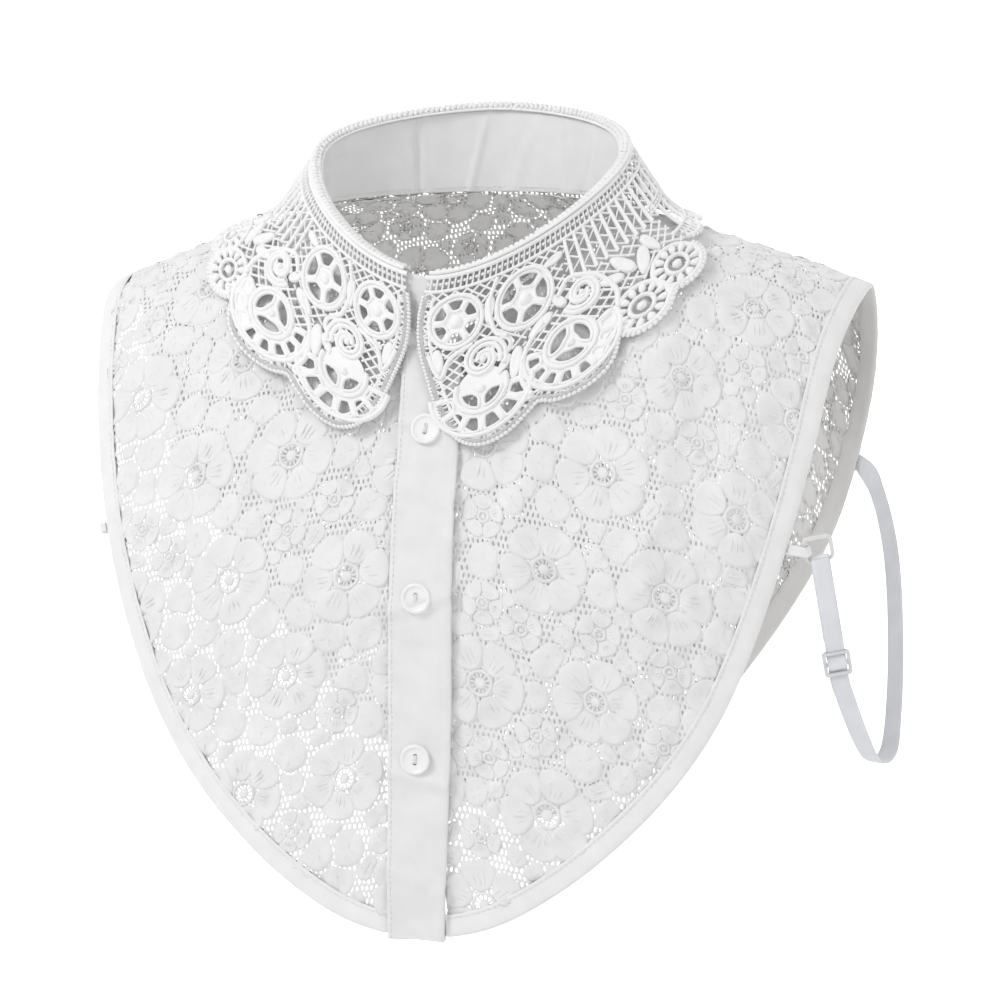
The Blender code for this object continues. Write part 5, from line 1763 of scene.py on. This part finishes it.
def front_lace(lace, outline, windows):
    """The front of the fall: barred rims, curls, flowers, leaves and lattice."""
    base = GUIPURE_BASE + 0.3
    solid = fan_zones()
    for u, t, radius in FALL_FLOWERS:
        round_flower(lace, (u, t), radius)
        solid.append(arc((u, t), radius, 0, 360)[:-1])
    rim = outline[(outline[:, 0] > PLATE_FROM - 1) & (outline[:, 1] > 3)]
    rim = spaced(rim, 230)
    way = np.gradient(rim, axis=0)
    way /= np.linalg.norm(way, axis=1, keepdims=True)
    inward = np.stack([way[:, 1], -way[:, 0]], -1)
    if not inside(rim[90:91] + inward[90:91], outline)[0]:
        inward *= -1
    front = rim[:, 0] > 135
    barred(lace, rim[front], inward[front], 0.9, 4.0, 2.3)
    lace.cord(rim + inward * 0.9, *CORD, GUIPURE_BASE)
    for place in (rim - inward * 0.4)[::2]:
        lace.bead(place, 0.95, 1.4, GUIPURE_BASE + 0.1)
    for down, width in ((1.1, 2.2), (7.2, 1.5)):
        lace.cord(spaced([(PLATE_FROM, down), (207.4, down)], 90), width, 1.4, GUIPURE_BASE)
    for u in np.arange(PLATE_FROM, 205, 2.6):
        lace.cord(spaced([(u, 1.5), (u + 0.9, 7.0)], 3), 0.9, 0.9, GUIPURE_BASE)
        lace.bead((u + 1.5, 4.2), 0.8, 1.2, GUIPURE_BASE + 0.1)
    for ring in windows:
        if ring[:, 0].min() > PLATE_FROM and ring[:, 1].min() > 9:
            lace.cord(softened(ring, 26), 1.4, 1.2, base, closed=True)
    for u, t, inner, outer, first, last, cells in FANS:
        if cells < 5:
            continue
        step = (last - first) / cells
        for i in range(cells + (last - first != 360)):
            turn = first + i * step
            petal = egg(polar((u, t), (inner + outer) / 2, turn), outer - inner + 1.5, 2.9, turn, 14)
            lace.dome(petal, ((1.0, base), (0.8, base + 1.0), (0.4, base + 1.4)))
    for line in (
        arc((194.0, 21.0), 11.0, 0, 360, 1.4),
        arc((165.0, 22.0), 12.0, 0, 360, 1.4),
        arc((184.0, 52.0), 9.8, -20, 200, 1.4),
        arc((184.0, 52.0), 19.3, 5, 175, 1.4),
        arc((151.0, 50.0), 9.0, -10, 350, 1.4),
        arc((151.0, 50.0), 16.8, -10, 190, 1.4),
        spiral((183.0, 40.0), 9.5, 2.0, 150, 1.6),
        spiral((183.0, 40.0), 7.4, 0.8, 150, 1.5),
        spiral((143.0, 33.0), 8.0, 1.8, 20, 1.5),
        spiral((143.0, 33.0), 6.2, 0.8, 20, 1.4),
        rounded([(134, 48), (132, 40), (136, 30), (146, 24), (152, 29)], 6),
        rounded([(159, 36), (166, 43), (169, 54), (166, 63)], 6),
        rounded([(176, 8), (180, 18), (178, 30), (173, 34)], 6),
        rounded([(205, 34), (200, 44), (196, 36), (187, 32)], 6),
    ):
        lace.cord(line, 2.0, 1.7, base)
    for u, t, radius in (
        # knots: middle round, down, radius
        (151.0, 50.0, 1.8),
        (184.0, 52.0, 2.0),
        (194.0, 21.0, 3.0),
        (165.0, 22.0, 3.0),
        (183.0, 40.0, 1.6),
        (143.0, 33.0, 1.5),
    ):
        lace.bead((u, t), radius, 1.9, base)
    for u, t, length, width, turn in (
        # leaves: middle round, down, length, width, turn
        (119.0, 37.0, 13.0, 5.2, 62),
        (126.0, 33.0, 13.0, 5.0, -60),
        (113.0, 33.0, 11.0, 4.6, 105),
        (132.0, 36.0, 10.0, 4.4, -20),
        (170.5, 47.0, 14.0, 5.0, 78),
        (160.0, 36.5, 12.0, 4.8, 30),
        (175.0, 45.5, 9.0, 3.8, 55),
        (201.0, 37.0, 11.0, 4.4, 100),
        (180.0, 20.0, 12.0, 4.6, 82),
        (169.0, 62.0, 9.0, 4.2, -30),
        (151.0, 13.0, 10.0, 4.0, 10),
        (152.0, 30.5, 9.0, 4.0, -55),
    ):
        shape = egg((u, t), length, width, turn, 16, -0.2)
        lace.dome(shape, ((1.0, base - 0.2), (0.9, base + 0.9), (0.7, base + 1.2), (0.3, base + 0.8)))
        solid.append(shape)
    return solid


def collar_fall(name, side):
    """Half of the guipure fall."""
    ground, relief = Flat(), Flat()
    outline, windows = fall_outline(), fall_windows()
    plate(ground, fan_zones(), [w for w in windows if w[:, 1].min() > 9.5 and w[:, 0].min() > 140])
    ladder_lace(ground, relief)
    scallops(relief)
    solid = front_lace(relief, outline, windows)
    lattice(ground, outline, solid)
    posts(ground, outline, solid)
    pieces = []
    for word, lace in (("relief", relief), ("ground", ground)):
        flat = lace.all_points()
        pieces.append(new_object(f"{name}_{word}", fall.hang(flat, side), lace.faces, flat, GUIPURE))
    cut, area = cut_size(lambda flat: fall.hang(flat, side), outline, windows)
    dress(pieces[0])
    dress(pieces[1], (name,))


HEADING_INNER, HEADING_RISE = 1.5, 1.5  # of the rolled heading past and over the stand's rim


def heading(name, side):
    """The looped heading that rolls from the fall's top over the edge of the stand."""
    around = np.linspace(0.0, FALL_LENGTH + 0.5, 150) + GAP / 2 + (FALL_TURN if side > 0 else -FALL_TURN)
    top = np.stack([np.interp(-around, fall.round, column) for column in fall.points[:, 0].T], -1)
    angle = np.interp(-around, fall.round, fall.ANGLES)
    outwards = np.stack([np.sin(angle), -np.cos(angle), 0 * angle], -1)
    seam = np.array([neck_seam(a % (2 * math.pi)) for a in angle])
    inner = seam - HEADING_INNER * outwards
    inner[:, 2] = rim_height(angle) - 0.6
    turns = np.radians(np.linspace(0, 180, 9))
    middle, half = (top + inner) / 2, (top - inner) / 2
    over = middle[:, None] + half[:, None] * np.cos(turns)[None, :, None]
    over[..., 2] += HEADING_RISE * np.sin(turns)
    over[..., 0] *= side
    band = Band(over)
    if (band.normals[:, 4, 2]).mean() < 0:
        band.normals *= -1
    width = band.width
    lace = Flat()
    along = np.linspace(0, band.length, 260)
    rows = np.zeros((260, 7, 3))
    rows[..., 0] = along[:, None]
    rows[..., 1] = np.linspace(0, width, 7)
    rows[..., 2] = 0.15 * np.sin(along * 2.4)[:, None] * np.sin(np.pi * np.linspace(0, 1, 7))
    lace.grid(rows)
    for share, size in ((0.08, 1.5), (0.95, 1.3)):
        lace.cord(spaced([(0, share * width), (band.length, share * width)], 200), size, size, -0.1)
    for at in np.arange(1.2, band.length - 1, 2.5):
        swing = RANDOM.uniform(-0.25, 0.25)
        lace.bead((at + swing, 0.3 * width), RANDOM.uniform(1.15, 1.5), 1.5, 0.1)
        lace.bead((at + 1.25 - swing, 0.62 * width), RANDOM.uniform(1.0, 1.4), 1.4, 0.1)
    flat = lace.all_points()
    made = new_object(name + "_heading", band.hang(flat), lace.faces, flat, GUIPURE)
    return dress(made)


# ---------------------------------------------------------------- side straps

STRAP_WIDTH, STRAP_WALL = 8.0, 1.0
TAB_WIDTH, TAB_LENGTH, TAB_SEAT, TAB_BEND, TAB_PLIES = 4.4, 7.5, 0.45, 3.0, 0.8
TAB_Z, BACK_END_Z = -134.0, -112.0
RING_HALF_LEVEL, RING_HALF_UPRIGHT, RING_WIRE = 5.6, 5.0, 0.9
WRAP = RING_WIRE + GAP + STRAP_WALL / 2 + 0.1  # from the wire's middle to the strap's
TAB_WRAP = WRAP + 0.3
SLIDER_BAR, SLIDER_SLOT = 1.5, 3.3
STRAP_WEAVE = 1.9
LEFT_WIDTH_WAY = (0.96, 0.27, 0.0)
LEFT_SLIDER = (170.0, -38.0, -185.0)
LEFT_LOOP = (
    # across, depth, height, how upright the strap's width is
    (175.9, -15.0, -218.5, 0.0),
    (179.6, 5.0, -234.5, 0.0),
    (182.3, 26.0, -237.0, 0.0),
    (183.0, 41.0, -229.0, 0.0),
    (182.6, 53.0, -198.0, 0.0),
    (180.0, 60.0, -161.0, 0.1),
    (175.5, 65.5, -138.0, 0.4),
    (169.5, 69.0, -121.0, 0.75),
)
RIGHT_WIDTH_WAY = (0.25, 0.97, 0.0)
RIGHT_SLIDER = (146.0, -24.0, -184.0)
RIGHT_LOOP = (
    # across, depth, height, how upright the strap's width is
    (136.0, -8.0, -217.0, 0.0),
    (129.0, 12.0, -235.0, 0.0),
    (127.0, 33.0, -238.0, 0.0),
    (132.0, 49.0, -226.0, 0.0),
    (144.0, 60.0, -198.0, 0.0),
    (156.0, 67.0, -161.0, 0.1),
    (163.0, 70.0, -138.0, 0.4),
    (167.5, 70.5, -122.0, 0.75),
)


def edge_frame(cloth, rows, height):
    """A place on a cut edge: its point, the ways out of the cloth, off it and up it."""
    edge = edge_curve(cloth, rows)
    at = cloth.at(edge[:, 0], edge[:, 1], PANEL_WALL / 2)
    i = int(np.abs(at[:, 2] - height).argmin())
    inner = inset(cloth, edge, BINDING_WIDTH)[i]
    out = Vector(at[i] - cloth.at(*inner, PANEL_WALL / 2)).normalized()
    off = Vector(cloth.at(*edge[i], 1.0) - cloth.at(*edge[i], 0.0)).normalized()
    return Vector(at[i]), out, off, Vector(at[i - 1] - at[i + 1]).normalized()


def ribbon(name, middle, across, width, wall, side, material, steps=3):
    """A flat woven strip along middle points, its width pointing across at each."""
    middle = np.array([tuple(p) for p in middle])
    across = np.array([tuple(p) for p in across])
    middle, across = rounded(middle, steps), rounded(across, steps)
    along = np.gradient(middle, axis=0)
    along /= np.linalg.norm(along, axis=1, keepdims=True)
    across = across - (across * along).sum(1, keepdims=True) * along
    across /= np.linalg.norm(across, axis=1, keepdims=True)
    off = np.cross(across, along)
    half = width / 2
    face = [(s * half, wall / 2 * (1 - 0.75 * abs(s) ** 6)) for s in np.linspace(-1, 1, 9)]
    section = face + [(s, -r) for s, r in face[::-1]]
    points = np.array([middle + across * s + off * r for s, r in section]).transpose(1, 0, 2)
    way = way_along(middle)
    flat = Flat()
    rows = np.empty(points.shape)
    rows[..., 0] = way[:, None]
    rows[..., 1] = [s for s, r in section]
    rows[..., 2] = [r for s, r in section]
    flat.grid(rows, closed_columns=True)
    last = len(section) * (len(way) - 1)
    flat.faces.append(tuple(range(len(section))))
    flat.faces.append(tuple(last + i for i in range(len(section)))[::-1])
    hung = points.reshape(-1, 3) * ((1, 1, 1) if side > 0 else (-1, 1, 1))
    return new_object(name, hung, flat.faces, flat.all_points(), material), float(way[-1])


def wrapped(middle, radius, out, off, turns):
    """Points round a bar: turns in degrees, 0 along out and 90 along off."""
    angles = [math.radians(turn) for turn in turns]
    return [middle + radius * (math.cos(a) * out + math.sin(a) * off) for a in angles]


def strap(word, side, way, slider, loop):
    """A side strap from the front's binding to the back's; side -1 mirrors it."""
    edge, out, off, up = edge_frame(fronts, FRONT_EDGE, TAB_Z)
    slider, level = Vector(slider), Vector(way).normalized()
    centre = edge + level * (TAB_LENGTH + RING_HALF_LEVEL)
    down = (slider - centre).normalized()
    wide = (level - level.dot(down) * down).normalized()
    face = down.cross(wide)

    near, bar = edge + out * TAB_SEAT, centre - wide * RING_HALF_LEVEL
    bend = edge + out * TAB_BEND
    tab = [near + off * TAB_PLIES, bend + off * 1.5 * TAB_PLIES]
    tab += wrapped(bar, TAB_WRAP, wide, face, (90, 60, 30, 0, -30, -60, -90))
    tab += [bend - off * 1.5 * TAB_PLIES, near - off * TAB_PLIES]
    ways = [up, up - down, *[-down] * 7, up - down, up]
    made, length = ribbon(f"tab_{word}", tab, ways, TAB_WIDTH, STRAP_WALL, side, BINDING, 4)
    dress(made, (f"strap_tab_{word}",))

    bar = centre + down * RING_HALF_UPRIGHT
    half = (3 * SLIDER_BAR + 2 * SLIDER_SLOT) / 2
    inner_end = slider - down * (half + 4.0) - face * WRAP
    middle = [inner_end, bar + down * 8.0 - face * WRAP]
    middle += wrapped(bar, WRAP, -down, face, (-90, -60, -30, 0, 30, 60, 90))
    middle += [bar + down * 8.0 + face * WRAP, slider - down * (half + 4.0) + face * WRAP]
    pitch = SLIDER_BAR + SLIDER_SLOT
    for step, swing in ((-1, -1), (0, 1), (1, -1)):
        for nudge in (-SLIDER_BAR / 2, SLIDER_BAR / 2):
            spot = slider + down * (step * pitch + nudge)
            middle.append(spot + face * (swing * STRAP_WEAVE))
    across = [wide] * len(middle)

    end, back_out, back_off, back_up = edge_frame(back, BACK_EDGE, BACK_END_Z)
    route = [tuple(slider + down * (half + 4.0)) + (0.0,), *loop]
    seat = BINDING_WALL / 2 + GAP + STRAP_WALL / 2
    route.append(tuple(end + back_out * 2.0 + back_off * (seat + 0.4)) + (0.9,))
    route.append(tuple(end - back_out * 6.0 + back_off * (seat + 0.2)) + (0.9,))
    hung = rounded(route, 3)
    for step, (x, y, z, turned) in enumerate(hung):
        middle.append(Vector((x, y, z)))
        edge_on = (1 - turned) * min(2.2 * step / len(hung), 0.9)
        across.append(level * (1 - turned) + face * edge_on + Vector((0, 0, turned)))
    across[-4:] = [back_up] * 4
    made, length = ribbon(f"elastic_{word}", middle, across, STRAP_WIDTH, STRAP_WALL, side, ELASTIC)
    dress(made, (f"strap_elastic_{word}",))


def strap_hardware():
    """The moulded rings and sliders keep their own shapes, in white plastic."""
    for word in ("left", "right"):
        for piece in (f"strap_ring_{word}", f"strap_slider_{word}"):
            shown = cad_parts[piece]
            shown.data.materials.clear()
            shown.data.materials.append(PLASTIC)


# ---------------------------------------------------------------- the whole collar

def build_collar():
    inner = -PLACKET_SEAM + GAP
    for word, side in (("left", 1), ("right", -1)):
        lace_panel(f"front_panel_{word}", fronts, front_outline(side))
        shoulder_seam(f"shoulder_seam_{word}", side)
        binding(f"binding_front_{word}", fronts, FRONT_EDGE, inner, side)
        collar_fall(f"collar_lace_{word}", side)
        heading(f"collar_lace_{word}", side)
    # The back panel takes the darker lace copy: painted shade.
    lace_panel("back_panel", back, back_outline(), BACK_LACE_PAINTED_SHADE)
    # The back binding takes the darker tape copy: painted shade.
    binding("binding_back", back, BACK_EDGE, 0.0, 0, BACK_BINDING_PAINTED_SHADE)
    placket("placket_under", 0.0, UNDER_PLACKET_WALL, lambda share: -PLACKET_SEAM + 0 * share, None)
    placket(
        "placket_over", OVER_PLACKET_LIFT, OVER_PLACKET_WALL,
        lambda share: through(PLACKET_FREE_EDGE, 1, share), placket_wear,
    )
    collar_stand()
    buttons()
    strap("left", 1, LEFT_WIDTH_WAY, LEFT_SLIDER, LEFT_LOOP)
    strap("right", -1, RIGHT_WIDTH_WAY, RIGHT_SLIDER, RIGHT_LOOP)
    strap_hardware()


# ---------------------------------------------------------------- room, light and camera

CAMERA_TURN, CAMERA_UP, CAMERA_ROLL = math.radians(15.4), math.radians(7.7), math.radians(-0.2)
CAMERA_TARGET, CAMERA_AWAY = Vector((0, 0, -0.14475)), 1.374
CAMERA_LENS, CAMERA_SHIFT = 111.2, (0.0291, 0.0435)
FLOOR_Z, WALL_Y, WALL_TOP = -0.60, 2.6, 3.2


def studio_material():
    made = bpy.data.materials.new("studio_paper")
    made.use_nodes = True
    shader = made.node_tree.nodes["Principled BSDF"]
    shader.inputs["Base Color"].default_value = (0.93, 0.93, 0.93, 1)
    shader.inputs["Roughness"].default_value = 0.95
    shader.inputs["Emission Color"].default_value = (1, 1, 1, 1)
    place = node(made.node_tree, "ShaderNodeTexCoord").outputs["Object"]
    back_from = node(made.node_tree, "ShaderNodeSeparateXYZ", {0: place}).outputs["Y"]
    lit = node(
        made.node_tree,
        "ShaderNodeMapRange",
        {"Value": back_from, "From Min": 0.25, "From Max": 0.9, "To Min": 0.0, "To Max": 0.62},
        interpolation_type="SMOOTHSTEP",
    )
    made.node_tree.links.new(lit.outputs[0], shader.inputs["Emission Strength"])
    return made


def studio():
    """Pale paper that sweeps up from the floor behind the garment."""
    bend = 1.2
    profile = [(-3.0, FLOOR_Z), (WALL_Y - bend, FLOOR_Z)]
    for turn in np.radians(np.linspace(-90, 0, 17))[1:]:
        profile.append((WALL_Y - bend + bend * math.cos(turn), FLOOR_Z + bend + bend * math.sin(turn)))
    profile.append((WALL_Y, WALL_TOP))
    points = [(x, y, z) for y, z in profile for x in (-14.0, 14.0)]
    faces = [(2 * i, 2 * i + 1, 2 * i + 3, 2 * i + 2) for i in range(len(profile) - 1)]
    mesh = bpy.data.meshes.new("studio_sweep")
    mesh.from_pydata(points, [], faces)
    mesh.shade_smooth()
    mesh.materials.append(studio_material())
    sweep = bpy.data.objects.new("studio_sweep", mesh)
    bpy.context.scene.collection.objects.link(sweep)


def area_light(name, place, target, size, watts):
    """A soft square light at a place, facing a target."""
    data = bpy.data.lights.new(name, "AREA")
    data.size = size
    data.energy = watts
    made = bpy.data.objects.new(name, data)
    made.location = place
    made.rotation_euler = (Vector(target) - Vector(place)).to_track_quat("-Z", "Y").to_euler()
    bpy.context.scene.collection.objects.link(made)


def lights():
    """Even white light, stronger from the upper left of the view."""
    world = bpy.data.worlds.new("white_room")
    world.use_nodes = True
    world.node_tree.nodes["Background"].inputs[0].default_value = (1, 1, 1, 1)
    world.node_tree.nodes["Background"].inputs[1].default_value = 0.62
    bpy.context.scene.world = world
    area_light("key", (-1.1, -1.1, 1.2), (0, 0, -0.1), 0.6, 16.5)
    area_light("fill", (1.3, -1.3, 0.5), (0, 0, -0.15), 1.2, 5)


def camera():
    data = bpy.data.cameras.new("camera")
    data.lens = CAMERA_LENS
    data.sensor_width = 36
    data.shift_x, data.shift_y = CAMERA_SHIFT
    made = bpy.data.objects.new("camera", data)
    away = Vector((
        math.sin(CAMERA_TURN) * math.cos(CAMERA_UP),
        -math.cos(CAMERA_TURN) * math.cos(CAMERA_UP),
        math.sin(CAMERA_UP),
    ))
    made.location = CAMERA_TARGET + CAMERA_AWAY * away
    turned = (-away).to_track_quat("-Z", "Y").to_matrix().to_4x4()
    made.rotation_euler = (turned @ Matrix.Rotation(CAMERA_ROLL, 4, "Z")).to_euler()
    bpy.context.scene.collection.objects.link(made)
    bpy.context.scene.camera = made


build_collar()
studio()
lights()
camera()
bpy.context.scene.view_settings.view_transform = "Standard"
